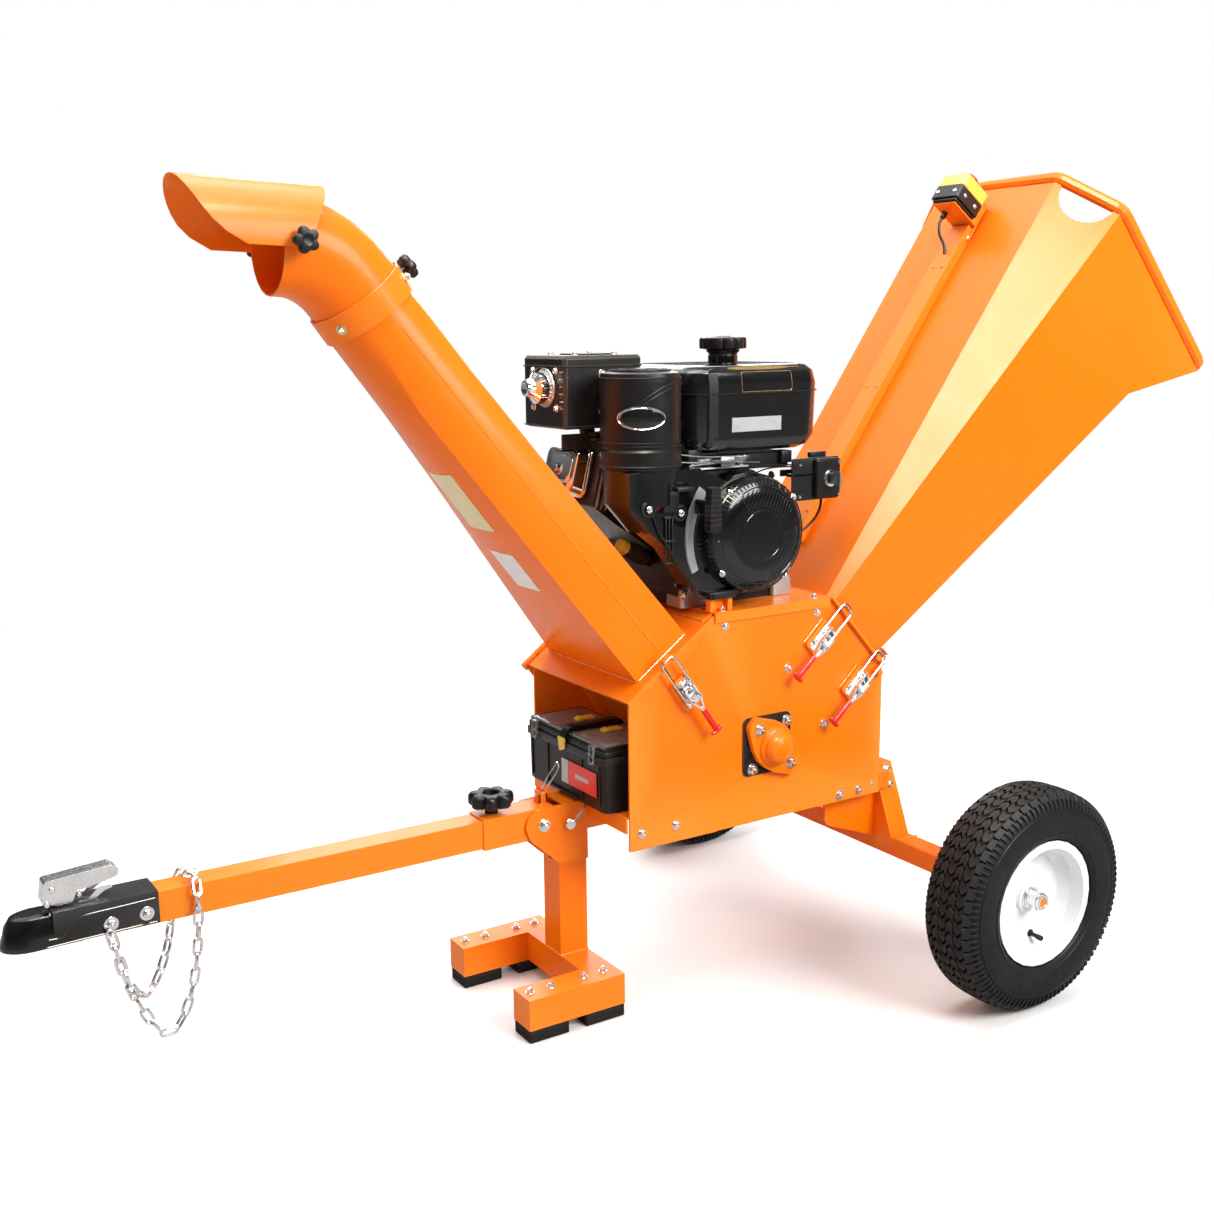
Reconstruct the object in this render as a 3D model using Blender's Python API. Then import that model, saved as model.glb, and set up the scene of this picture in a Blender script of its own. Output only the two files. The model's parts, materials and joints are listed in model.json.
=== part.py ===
"""Towable petrol wood chipper: frame and rotor housing, side-swinging feed
hopper and discharge chute, engine, belt drive, wheels, stand and tow hitch.

Metres, +Z up, +X towards the feed hopper, -X towards the tow coupler. The
latches are on the -Y side, called near; the hinges and belt on the +Y side,
called far. It is laid out from the point on the ground midway between the two
wheels, and stands finally with its origin in the middle of its footprint.
"""
import bpy
import bmesh
from math import acos, atan2, cos, hypot, pi, radians, sin, sqrt, tan
from mathutils import Vector

# ---------------------------------------------------------------- dimensions
FOOTPRINT_SHIFT_X = 0.43291       # wheel line to the middle of the footprint
GAP = 0.0003                      # running clearance between neighbours
SIDES = (("near", -1), ("far", 1))

# rotor housing
HOUSING_HALF_W = 0.166            # outer face of each housing side plate
PLATE_T = 0.005
CHAMBER_HALF_W = HOUSING_HALF_W - PLATE_T - GAP
PLATE_X0, PLATE_X1 = -0.619, -0.0415
PLATE_BOTTOM, PLATE_LEFT_TOP, PLATE_TOP = 0.310, 0.578, 0.705
CHUTE_CUT = radians(36.0)         # slope of the plate edge under the chute
HOPPER_CUT = radians(48.0)        # slope of the plate edge under the hopper
CHUTE_EDGE_TOP_X = PLATE_X0 + (PLATE_TOP - PLATE_LEFT_TOP) / tan(CHUTE_CUT)
HOPPER_EDGE_X = -0.174            # top end of the hopper edge
PLATE_RIGHT_TOP = PLATE_TOP - (PLATE_X1 - HOPPER_EDGE_X) * tan(HOPPER_CUT)
DECK_Z = 0.7113                   # top of the engine deck

# swing flanges and hinges; n is the height off the sloping edge
FLANGE_T, FLANGE_HALF_W = 0.005, 0.175
FLANGE_N0, FLANGE_N1 = GAP, GAP + FLANGE_T
HINGE_Y, HINGE_N, HINGE_S = 0.1768, 0.0030, 0.093
BARREL_R, BARREL_BORE, HINGE_PIN_R = 0.0090, 0.0054, 0.0050
SHEET = 0.003                     # chute and hopper sheet

# discharge chute
DUCT_S0, DUCT_S1, DUCT_HALF_W = 0.038, 0.162, 0.150
DUCT_TOP_S, DUCT_TOP_R, DUCT_LEN = 0.080, 0.0755, 0.735
DUCT_SPIGOT = 0.054               # straight round end inside the collar
COLLAR_N0, COLLAR_N1, COLLAR_R = 0.741, 0.783, 0.0812
COLLAR_MID_N = (COLLAR_N0 + COLLAR_N1) / 2
COLLAR_BORE = 0.0763
ELBOW_START, ELBOW_R, ELBOW_BEND = 0.795, 0.0775, 0.150
HOOD_R, HOOD_X, HOOD_Z = 0.0905, -1.127, 1.330

# feed hopper, near half outlines (s, y): top, chamfer and bottom corners
HOPPER_BASE = [(0.004, -0.144), (0.0157, -0.158), (0.170, -0.158)]
HOPPER_RIM = [(-0.201, -0.158), (-0.105, -0.273), (0.319, -0.273)]
HOPPER_KINK_N, HOPPER_KINK_S = 0.764, 0.211
HOPPER_RIM_N, RIM_R = 0.958, 0.0125
HOPPER_SHEET_N = HOPPER_RIM_N - 2 * RIM_R - GAP

# rotor and belt drive
ROTOR_X, ROTOR_Z, ROTOR_R = -0.312, 0.451, 0.112
ROTOR_CENTRE = (ROTOR_X, 0, ROTOR_Z)
SHAFT_R = 0.0175
TROUGH_R = 0.1336                 # chamber floor round the rotor
CRANK_X, CRANK_Z = -0.350, 0.842
DRIVE_R, DRIVEN_R = 0.045, 0.085
BELT_T, BELT_Y0, BELT_Y1 = 0.008, 0.193, 0.217
BEARING_PLATE_T = 0.003

# stand, beam and hitch
TUBE_HALF = 0.057 / 2             # stand column, main beam and sleeve tube
BAR_HALF = 0.0508 / 2 - .0002     # tow bar tube
HITCH_Z = 0.3405                  # tow bar centre height
PIVOT_X, PIVOT_Z = -0.714, 0.338
PIN_X, PIN_Z, PIN_HOLE_R = -0.6655, 0.333, 0.0063
SLEEVE_HALF = TUBE_HALF - .0005
TRAY_TOP = HITCH_Z + TUBE_HALF + .0025
COLUMN_X0, COLUMN_X1 = -0.682, -0.625
FOOT_Z, FOOT_Y0, FOOT_Y1 = 0.0237, 0.0955, 0.1525

WHEEL_R, WHEEL_Y, SPINDLE_R = 0.203, 0.496, 0.0125

# ----------------------------------------------------------------- materials
ORANGE = dict(label="orange_paint", rgb=(1.0, 0.20, 0.005), rough=0.25, metal=0.0)
BLACK = dict(label="black_plastic", rgb=(0.012, 0.012, 0.013), rough=0.4, metal=0.0)
BLACK_PAINT = dict(label="black_paint", rgb=(0.01, 0.01, 0.011), rough=0.25, metal=0.0)
RUBBER = dict(label="rubber", rgb=(0.02, 0.02, 0.02), rough=0.8, metal=0.0)
ZINC = dict(label="zinc", rgb=(0.7, 0.71, 0.72), rough=0.3, metal=1.0)
STEEL = dict(label="steel", rgb=(0.45, 0.46, 0.47), rough=0.35, metal=1.0)
ALLOY = dict(label="alloy", rgb=(0.5, 0.5, 0.5), rough=0.5, metal=1.0)
CHROME = dict(label="chrome", rgb=(0.85, 0.85, 0.86), rough=0.08, metal=1.0)
RED = dict(label="red_plastic", rgb=(0.7, 0.01, 0.01), rough=0.35, metal=0.0)
YELLOW = dict(label="yellow_plastic", rgb=(0.95, 0.7, 0.02), rough=0.35, metal=0.0)
WHITE = dict(label="white_paint", rgb=(0.85, 0.87, 0.88), rough=0.3, metal=0.0)


def material(part_name, label, rgb, rough, metal):
    """Each part owns a material named after the part and its finish."""
    mat = bpy.data.materials.new(part_name + "_" + label)
    mat.use_nodes = True
    shader = mat.node_tree.nodes["Principled BSDF"]
    shader.inputs["Base Color"].default_value = (*rgb, 1.0)
    shader.inputs["Roughness"].default_value = rough
    shader.inputs["Metallic"].default_value = metal
    mat.diffuse_color = (*rgb, 1.0)
    return mat


# --------------------------------------------------------- objects, booleans
def clear_scene():
    for ob in list(bpy.data.objects):
        bpy.data.objects.remove(ob, do_unlink=True)
    for mesh in list(bpy.data.meshes):
        bpy.data.meshes.remove(mesh)
    for mat in list(bpy.data.materials):
        bpy.data.materials.remove(mat)


def shade(mesh, sharp_deg=32):
    mesh.shade_smooth()
    mesh.set_sharp_from_angle(angle=radians(sharp_deg))


def part(name, bm, finish=None, origin=(0, 0, 0), sharp_deg=32):
    """A named object from world-space geometry, its origin at `origin`."""
    bmesh.ops.remove_doubles(bm, verts=bm.verts, dist=1e-6)
    bmesh.ops.recalc_face_normals(bm, faces=bm.faces)
    bmesh.ops.translate(bm, vec=-Vector(origin), verts=bm.verts)
    mesh = bpy.data.meshes.new(name)
    bm.to_mesh(mesh)
    bm.free()
    ob = bpy.data.objects.new(name, mesh)
    ob.location = origin
    bpy.context.scene.collection.objects.link(ob)
    if finish:
        mesh.materials.append(material(name, **finish))
    shade(mesh, sharp_deg)
    return ob


def boolean(ob, operands, operation):
    """Bake EXACT booleans of bmesh or object operands into `ob`, in order."""
    operands = [o if isinstance(o, bpy.types.Object) else part("operand", o) for o in operands]
    for operand in operands:
        mod = ob.modifiers.new("cut", "BOOLEAN")
        mod.operation = operation
        mod.solver = "EXACT"
        mod.object = operand
        bpy.context.view_layer.update()
        depsgraph = bpy.context.evaluated_depsgraph_get()
        mesh = bpy.data.meshes.new_from_object(ob.evaluated_get(depsgraph))
        ob.modifiers.clear()
        old = ob.data
        ob.data = mesh
        mesh.name = ob.name
        bpy.data.meshes.remove(old)
        bpy.data.objects.remove(operand, do_unlink=True)
    bm = bmesh.new()
    bm.from_mesh(ob.data)
    bmesh.ops.remove_doubles(bm, verts=bm.verts, dist=2e-6)
    bmesh.ops.dissolve_degenerate(bm, edges=bm.edges, dist=2e-6)
    bm.to_mesh(ob.data)
    bm.free()
    shade(ob.data)


def union(ob, *operands):
    boolean(ob, operands, "UNION")


def cut(ob, *operands):
    boolean(ob, operands, "DIFFERENCE")


# ------------------------------------------------------------ solid builders
def loft(rings, closed=False):
    """Skin equal-length rings; closed joins last to first (a hollow form)."""
    bm = bmesh.new()
    rows = [[bm.verts.new(p) for p in r] for r in rings]
    count = len(rows[0])
    pairs = list(zip(rows, rows[1:]))
    if closed:
        pairs.append((rows[-1], rows[0]))
    for a, b in pairs:
        for i in range(count):
            j = (i + 1) % count
            bm.faces.new((a[i], a[j], b[j], b[i]))
    if not closed:
        bm.faces.new(list(reversed(rows[0])))
        bm.faces.new(rows[-1])
    return bm


def prism(outline, place, h0, h1):
    """Extrude a 2-D outline; place(u, v, h) gives the world point."""
    return loft([[place(u, v, h) for u, v in outline] for h in (h0, h1)])


def xz(u, v, h):
    return Vector((u, h, v))


def yz(u, v, h):
    return Vector((h, u, v))


def xy(u, v, h):
    return Vector((u, v, h))


def basis(axis):
    w = Vector(axis).normalized()
    helper = Vector((0, 0, 1)) if abs(w.z) < 0.9 else Vector((1, 0, 0))
    u = w.cross(helper).normalized()
    return u, w.cross(u), w


def lathe(profile, origin, axis, n=24, closed=False):
    """Turn (radius, height) pairs about an axis; zero radius is a pole."""
    u, v, w = basis(axis)
    origin = Vector(origin)
    bm = bmesh.new()
    rows = []
    for r, h in profile:
        if r <= 1e-9:
            rows.append([bm.verts.new(origin + w * h)])
        else:
            angles = [2 * pi * i / n for i in range(n)]
            rows.append([bm.verts.new(origin + w * h + r * (u * cos(a) + v * sin(a)))
                         for a in angles])
    pairs = list(zip(rows, rows[1:]))
    if closed:
        pairs.append((rows[-1], rows[0]))
    for a, b in pairs:
        for i in range(n):
            j = (i + 1) % n
            if len(a) == 1:
                bm.faces.new((a[0], b[j], b[i]))
            elif len(b) == 1:
                bm.faces.new((a[i], a[j], b[0]))
            else:
                bm.faces.new((a[i], a[j], b[j], b[i]))
    return bm


def rod(p0, p1, r, n=16):
    p0, p1 = Vector(p0), Vector(p1)
    length = (p1 - p0).length
    return lathe([(0, 0), (r, 0), (r, length), (0, length)], p0, p1 - p0, n)


def rod_y(x, z, y0, y1, r, n=16):
    return rod((x, y0, z), (x, y1, z), r, n)


def box(x0, x1, y0, y1, z0, z1, bevel=0.0):
    bm = bmesh.new()
    bmesh.ops.create_cube(bm, size=1.0)
    for v in bm.verts:
        v.co = Vector((x0 + (v.co.x + .5) * (x1 - x0), y0 + (v.co.y + .5) * (y1 - y0),
                       z0 + (v.co.z + .5) * (z1 - z0)))
    if bevel:
        bmesh.ops.bevel(bm, geom=bm.edges[:], offset=bevel, segments=1,
                        affect='EDGES', profile=0.5)
    return bm


def rounded(pts, radii, seg=3):
    """Round the corners of a 2-D outline with one radius or one per corner."""
    if not isinstance(radii, list):
        radii = [radii] * len(pts)
    out = []
    for i, r in enumerate(radii):
        corner = Vector(pts[i])
        if r <= 0:
            out.append(tuple(corner))
            continue
        back = Vector(pts[i - 1]) - corner
        ahead = Vector(pts[(i + 1) % len(pts)]) - corner
        half = back.angle(ahead) / 2
        setback = min(r / tan(half), back.length * .48, ahead.length * .48)
        fitted_r = setback * tan(half)
        back, ahead = back.normalized(), ahead.normalized()
        centre = corner + (back + ahead).normalized() * hypot(setback, fitted_r)
        start = corner + back * setback - centre
        end = corner + ahead * setback - centre
        sweep_angle = start.angle_signed(end)
        for m in range(seg + 1):
            a = -sweep_angle * m / seg
            out.append((centre.x + start.x * cos(a) - start.y * sin(a),
                        centre.y + start.x * sin(a) + start.y * cos(a)))
    return out


def offset(pts, distance):
    """Inward offset of a 2-D outline (any winding)."""
    area = sum(a[0] * b[1] - b[0] * a[1] for a, b in zip(pts, pts[1:] + pts[:1]))
    sign = 1 if area > 0 else -1
    out = []
    for i, p in enumerate(pts):
        here = Vector(p)
        d1 = (here - Vector(pts[i - 1])).normalized()
        d2 = (Vector(pts[(i + 1) % len(pts)]) - here).normalized()
        n1, n2 = Vector((-d1.y, d1.x)) * sign, Vector((-d2.y, d2.x)) * sign
        out.append(tuple(here + (n1 + n2) * (distance / (1 + n1.dot(n2)))))
    return out


def sweep(path, r, n, closed, up):
    """Round bar along a path, mitred at bends; capped ends when open."""
    path = [Vector(p) for p in path]
    rings = []
    ref = Vector(up)
    for i, p in enumerate(path):
        # at the ends of an open path the missing neighbour is the point itself
        a = path[i - 1] if closed or i else p
        b = path[(i + 1) % len(path)] if closed or i < len(path) - 1 else p
        tangent = (b - a).normalized()
        u = (ref - tangent * ref.dot(tangent)).normalized()
        v = tangent.cross(u)
        into = (p - a).normalized() if (p - a).length else tangent
        stretch = 1.0 / max(into.dot(tangent), 0.5)
        bend = Vector((0, 0, 0))
        if (b - p).length and (p - a).length:
            bend = (b - p).normalized() - into
        ring = []
        for j in range(n):
            angle = 2 * pi * (j + .5) / n
            q = u * cos(angle) + v * sin(angle)
            if bend.length > 1e-6:
                mitre = bend.normalized()
                q = q + mitre * (q.dot(mitre) * (stretch - 1))
            ring.append(p + q * r)
        rings.append(ring)
        ref = u
    return loft(rings, closed=closed)


def square_tube(x0, x1, half, wall):
    """Hollow square tube along X at hitch height, open at both ends."""
    def ring(x, h):
        return [Vector((x, a * h, HITCH_Z + b * h))
                for a, b in ((-1, -1), (1, -1), (1, 1), (-1, 1))]
    return loft([ring(x0, half), ring(x1, half), ring(x1, half - wall), ring(x0, half - wall)],
                closed=True)


def knob(r, lobes, head0, head1, crown_r, origin, axis, stem_r):
    """Hand knob: a lobed head from head0 to head1 on a round stem."""
    u, v, w = basis(axis)
    angles = [2 * pi * i / (lobes * 4) for i in range(lobes * 4)]

    def circle(radius, h, wave=0.0):
        return [origin + w * h + (u * cos(a) + v * sin(a))
                * (radius * (1 - wave + wave * cos(lobes * a))) for a in angles]

    def lobed(scale, h):
        return circle(r * scale, h, wave=0.14)

    depth = head1 - head0
    return loft([circle(stem_r, 0), circle(stem_r, head0), lobed(.88, head0),
                 lobed(1, head0 + .15 * depth), lobed(1, head0 + .8 * depth),
                 lobed(.86, head1), circle(crown_r, head1)])


def slab(cx, cy, half_x, half_y, r, levels, seg=4):
    """Upright rounded block; levels are (z, inset) pairs."""
    rings = []
    for z, inset in levels:
        hx, hy = half_x - inset, half_y - inset
        pts = rounded([(cx - hx, cy - hy), (cx + hx, cy - hy),
                       (cx + hx, cy + hy), (cx - hx, cy + hy)], r, seg)
        rings.append([Vector((x, y, z)) for x, y in pts])
    return loft(rings)


def strip(path, thickness, y0, y1):
    """Bent sheet centred on an (x, z) path, from y0 to y1."""
    rings = []
    for i, p in enumerate(path):
        a = Vector(path[max(i - 1, 0)])
        b = Vector(path[min(i + 1, len(path) - 1)])
        d = (b - a).normalized()
        half = Vector((-d.y, d.x)) * thickness / 2
        upper, lower = Vector(p) + half, Vector(p) - half
        rings.append([xz(*upper, y0), xz(*lower, y0), xz(*lower, y1), xz(*upper, y1)])
    return loft(rings)


def span(sign, a, b):
    """The ordered pair of a and b on the side given by sign."""
    return sorted((sign * a, sign * b))


class EdgeFrame:
    """Frame on a sloping plate edge: s along it towards +X, y, n off it."""

    def __init__(self, x, z, angle):
        self.origin = Vector((x, 0, z))
        self.along = Vector((cos(angle), 0, sin(angle)))
        self.out = Vector((-sin(angle), 0, cos(angle)))

    def at(self, s, y, n):
        return self.origin + self.along * s + self.out * n + Vector((0, y, 0))

    def side_on(self, s, n, y):
        return self.at(s, y, n)

    def ring(self, pts, n):
        return [self.at(s, y, n) for s, y in pts]


CHUTE = EdgeFrame(PLATE_X0, PLATE_LEFT_TOP, CHUTE_CUT)
HOPPER = EdgeFrame(HOPPER_EDGE_X, PLATE_TOP, -HOPPER_CUT)
CHUTE_HINGE = tuple(CHUTE.at(HINGE_S, HINGE_Y, HINGE_N))
HOPPER_HINGE = tuple(HOPPER.at(HINGE_S, HINGE_Y, HINGE_N))

# latch number, frame, position s along the edge
LATCHES = [("1", CHUTE, 0.095), ("2", HOPPER, 0.034), ("3", HOPPER, 0.166)]


# ------------------------------------------------------------------- housing
def build_side_plates():
    outline = [(PLATE_X0, PLATE_BOTTOM), (PLATE_X1, PLATE_BOTTOM), (PLATE_X1, PLATE_RIGHT_TOP),
               (HOPPER_EDGE_X, PLATE_TOP), (CHUTE_EDGE_TOP_X, PLATE_TOP),
               (PLATE_X0, PLATE_LEFT_TOP)]
    shaft_hole_r = .030
    for side, sign in SIDES:
        plate = prism(outline, xz, *span(sign, HOUSING_HALF_W, HOUSING_HALF_W - PLATE_T))
        ob = part("side_plate_" + side, plate, ORANGE)
        cut(ob, rod_y(ROTOR_X, ROTOR_Z, sign * .10, sign * .20, shaft_hole_r, 24))
        if side == "near":
            union(ob, *[latch_pad(frame, s) for _, frame, s in LATCHES])


def latch_pad(frame, s):
    half_s, n0, n1 = .022, -.098, -.034
    pts = rounded([(s - half_s, n0), (s + half_s, n0), (s + half_s, n1), (s - half_s, n1)],
                  .006, 2)
    return prism(pts, frame.side_on, -HOUSING_HALF_W - .008, -HOUSING_HALF_W + .002)


def build_deck_plate():
    inner = HOUSING_HALF_W + GAP
    outer, skirt_z = inner + .004, .693
    # (y, z) channel fitting over the side plates
    profile = [(-outer, skirt_z), (-inner, skirt_z), (-inner, PLATE_TOP + GAP),
               (inner, PLATE_TOP + GAP), (inner, skirt_z), (outer, skirt_z),
               (outer, DECK_Z), (-outer, DECK_Z)]
    ob = part("deck_plate", prism(profile, yz, -0.440, -0.1785), ORANGE)
    # tongue from the deck to the chute edge
    low, high = CHUTE.at(.1972, 0, .0003), CHUTE.at(.1972, 0, .0063)
    tongue = [(low.x, low.z), (-.4385, .7065), (-.4385, .7108), (high.x, high.z)]
    union(ob, prism(tongue, xz, -.1605, .1605))


def hopper_meet(s, r):
    """n where the line at s meets the circle of radius r round the rotor."""
    centre = Vector(ROTOR_CENTRE) - HOPPER.origin
    return centre.dot(HOPPER.out) + sqrt(r ** 2 - (s - centre.dot(HOPPER.along)) ** 2)


def build_rotor_housing():
    """Feed floor, rotor trough and discharge wall in one bent sheet."""
    floor_s, steps = 0.172, 16
    start = HOPPER.at(floor_s, 0, -0.003)
    meet = HOPPER.at(floor_s, 0, hopper_meet(floor_s, TROUGH_R))
    end = CHUTE.at(0.050, 0, -0.003)
    a0 = atan2(meet.z - ROTOR_Z, meet.x - ROTOR_X)
    a1 = radians(-164)
    path = [(start.x, start.z)]
    for i in range(steps + 1):
        a = a0 + (a1 - a0) * i / steps
        path.append((ROTOR_X + TROUGH_R * cos(a), ROTOR_Z + TROUGH_R * sin(a)))
    path.append((end.x, end.z))
    part("rotor_housing", strip(path, .004, -CHAMBER_HALF_W, CHAMBER_HALF_W), ORANGE)


def build_bed_knife():
    s0, s1, edge_r, half_w = .160, .1697, .1225, .158
    n = hopper_meet(s0, edge_r)
    outline = [(s0, n), (s1, n + .004), (s1, n + .07), (s0, n + .07)]
    part("bed_knife", prism(outline, HOPPER.side_on, -half_w, half_w), STEEL)


# ----------------------------------------------------- beam, stand and axle
def pin_hole():
    return rod_y(PIN_X, PIN_Z, -.05, .05, PIN_HOLE_R)


def build_main_beam():
    """Square beam with the toolbox tray welded on top."""
    ob = part("main_beam", square_tube(-.6730, -.4300, TUBE_HALF, .004), ORANGE)
    weld_z = HITCH_Z + TUBE_HALF - .002
    # (x, z) tray section with a downturned edge at -X
    profile = [(-.6240, .341), (-.6200, .341), (-.6200, weld_z), (-.470, weld_z),
               (-.470, TRAY_TOP), (-.6240, TRAY_TOP)]
    tray = part("tray", prism(profile, xz, -CHAMBER_HALF_W, CHAMBER_HALF_W))
    # let the beam pass through the downturned edge
    cut(tray, box(-.63, -.61, -TUBE_HALF, TUBE_HALF, .33, weld_z + .0001))
    union(ob, tray)
    cut(ob, pin_hole())


def build_front_stand():
    """U foot, column and the two pivot cheeks."""
    beam_bottom = HITCH_Z - TUBE_HALF
    ob = part("front_stand", box(COLUMN_X0, COLUMN_X1, -TUBE_HALF, TUBE_HALF,
                                 .070, beam_bottom - GAP), ORANGE)
    foot = [(-.817, -FOOT_Y1), (-.624, -FOOT_Y1), (-.624, FOOT_Y1), (-.817, FOOT_Y1),
            (-.817, FOOT_Y0), (COLUMN_X0, FOOT_Y0), (COLUMN_X0, -FOOT_Y0), (-.817, -FOOT_Y0)]
    union(ob, prism(foot, xy, FOOT_Z, .0800))
    # (x, z) cheek corners, then their radii
    cheek = rounded([(-.751, .338), (-.7465, .3565), (-.724, .3690), (-.6245, .3690),
                     (-.6245, .2580), (-.682, .2580), (-.7415, .3135)],
                    [.02, .012, .02, .002, .002, .012, .02], 3)
    pieces = []
    for _, sign in SIDES:
        pieces.append(prism(cheek, xz, *span(sign, TUBE_HALF + .0005, TUBE_HALF + .0055)))
        # block bridging the clearance between cheek and column
        pieces.append(box(-.680, -.627, *span(sign, TUBE_HALF - .003, TUBE_HALF + .003),
                          .262, beam_bottom - .004))
    union(ob, *pieces)
    cut(ob, rod_y(PIVOT_X, PIVOT_Z, -.05, .05, .0066), pin_hole())


def build_foot_pads():
    top = FOOT_Z - GAP
    # (x, z) section with an arched middle
    profile = [(-.8165, 0), (-.7385, 0), (-.7335, .019), (-.7085, .019), (-.7035, 0),
               (-.6245, 0), (-.6245, top), (-.8165, top)]
    for side, sign in SIDES:
        part("foot_pad_" + side,
             prism(profile, xz, *span(sign, FOOT_Y0 + GAP, FOOT_Y1 - GAP)), RUBBER)


def build_axle_frame():
    """Square cross tube with spindles, leaning posts and housing arms."""
    ob = part("axle_frame", box(-.0225, .0225, -.405, .405, .1800, .2185, .002), ORANGE)
    post_half_w, post_z0, post_z1 = .0235, .200, .352
    # (x, z) gusset corners, then their radii
    gusset = rounded([(-.150, .3135), (-.150, .262), (-.139, .250), (-.016, .205),
                      (-.016, .3135)], [0, .008, .008, 0, 0], 2)
    pieces = []
    for _, sign in SIDES:
        pieces.append(rod_y(0, WHEEL_R, sign * .395, sign * .541, SPINDLE_R, 20))
        foot_y, head_y = sign * .168, sign * .107
        post = [(foot_y - post_half_w, post_z0), (foot_y + post_half_w, post_z0),
                (head_y + post_half_w, post_z1), (head_y - post_half_w, post_z1)]
        pieces.append(prism(post, yz, -.0230, .0230))
        pieces.append(box(-.165, -.010, *span(sign, .1604, .106), .3125, .3470, .0015))
        pieces.append(prism(gusset, xz, *span(sign, .134, .127)))
    union(ob, *pieces)


# ------------------------------------------------------------------ bearings
def build_bearing_plate():
    x0, x1, z0, z1 = ROTOR_X - .0645, ROTOR_X + .0445, .4, .510
    pts = rounded([(x0, z0), (x1, z0), (x1, z1), (x0, z1)], .012, 3)
    face = -HOUSING_HALF_W - GAP
    ob = part("bearing_plate_near", prism(pts, xz, face - BEARING_PLATE_T, face), BLACK_PAINT)
    cut(ob, rod_y(ROTOR_X, ROTOR_Z, -.2, -.1, .0215, 24))


def build_bearing(name, face_y, outward, profile, closed):
    """Two-bolt flange unit; `outward` is the sign of its outer Y direction."""
    origin = Vector((ROTOR_X, face_y, ROTOR_Z))
    ob = part(name, lathe(profile, origin, (0, outward, 0), 20, closed=closed), ORANGE)
    bolt_line = Vector((.707, 0, -.707))
    cross_line = Vector((.707, 0, .707))

    def place(u, v, h):
        return origin + bolt_line * u + cross_line * v + Vector((0, outward * h, 0))

    # half of the flange outline: along the bolt line, across it, corner radius
    half = [(-.0740, -.012, .011), (-.034, -.0355, 0), (-.010, -.0420, 0),
            (.010, -.0420, 0), (.034, -.0355, 0), (.0740, -.012, .011)]
    pts = [(u, v) for u, v, _ in half] + [(-u, -v) for u, v, _ in half]
    radii = [r for _, _, r in half] * 2
    flange = part("flange", prism(rounded(pts, radii, 3), place, 0, .0115))
    cut(flange, rod(place(0, 0, -.01), place(0, 0, .02), .0300, 24))
    union(ob, flange)


def build_bearings():
    bore_r = .0181
    # (radius, height) profiles: the near unit is blind, the far one inside
    # the belt guard is open for the shaft
    blind = [(0, .0385), (.012, .0380), (.022, .0345), (.0275, .029), (.030, .020),
             (.0355, .0165), (.0385, .010), (.0385, 0), (bore_r, 0), (bore_r, .0300),
             (0, .0300)]
    through = [(bore_r, .026), (.0300, .026), (.0355, .0165), (.0385, .010), (.0385, 0),
               (bore_r, 0)]
    near_face = -HOUSING_HALF_W - GAP - BEARING_PLATE_T - GAP
    build_bearing("bearing_near", near_face, -1, blind, closed=False)
    build_bearing("bearing_far", HOUSING_HALF_W + GAP, 1, through, closed=True)


# ------------------------------------------------------ rotor and belt drive
def build_rotor_drum():
    """Two drum cylinders on one shaft, with two raised knives."""
    bore_r, hub_r, half_w, web = .092, .030, .150, .010
    shaft_y0, shaft_y1 = -.1935, .2335
    profile = [(0, shaft_y0), (SHAFT_R, shaft_y0), (SHAFT_R, -half_w), (hub_r, -half_w),
               (hub_r, -web), (bore_r, -web), (bore_r, -half_w), (ROTOR_R, -half_w),
               (ROTOR_R, half_w), (bore_r, half_w), (bore_r, web), (hub_r, web),
               (hub_r, half_w), (SHAFT_R, half_w), (SHAFT_R, shaft_y1), (0, shaft_y1)]
    ob = part("rotor_drum", lathe(profile, ROTOR_CENTRE, (0, 1, 0), 28), STEEL,
              origin=ROTOR_CENTRE)
    # (outward, tangential) section of a knife
    section = [(.095, -.030), (.1175, -.012), (.1165, .004), (.095, .018)]
    knives = []
    for angle in (radians(60), radians(240)):
        c, s = cos(angle), sin(angle)
        turned = [(ROTOR_X + u * c - v * s, ROTOR_Z + u * s + v * c) for u, v in section]
        knives.append(prism(turned, xz, -.148, .148))
    union(ob, *knives)


def build_pulleys():
    hub_r, rim_inner, bore_r = .032, DRIVEN_R - .012, SHAFT_R + GAP
    belt_w = BELT_Y1 - BELT_Y0
    profile = [(bore_r, 0), (hub_r, 0), (hub_r, .006), (rim_inner, .006), (rim_inner, 0),
               (DRIVEN_R, 0), (DRIVEN_R, belt_w), (rim_inner, belt_w), (rim_inner, .016),
               (hub_r, .016), (hub_r, .030), (bore_r, .030)]
    part("driven_pulley", lathe(profile, (ROTOR_X, BELT_Y0, ROTOR_Z), (0, 1, 0), 24, closed=True),
         STEEL, origin=ROTOR_CENTRE)

    # crank stub and clutch pulley
    crank = (CRANK_X, 0, CRANK_Z)
    clutch_r = .038
    profile = [(0, .1305), (.014, .1305), (.014, .178), (clutch_r, .178), (clutch_r, BELT_Y0),
               (DRIVE_R, BELT_Y0), (DRIVE_R, BELT_Y1), (clutch_r, BELT_Y1), (clutch_r, .226),
               (.012, .226), (.012, .230), (0, .230)]
    part("drive_pulley", lathe(profile, crank, (0, 1, 0), 24), STEEL, origin=crank)


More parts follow.
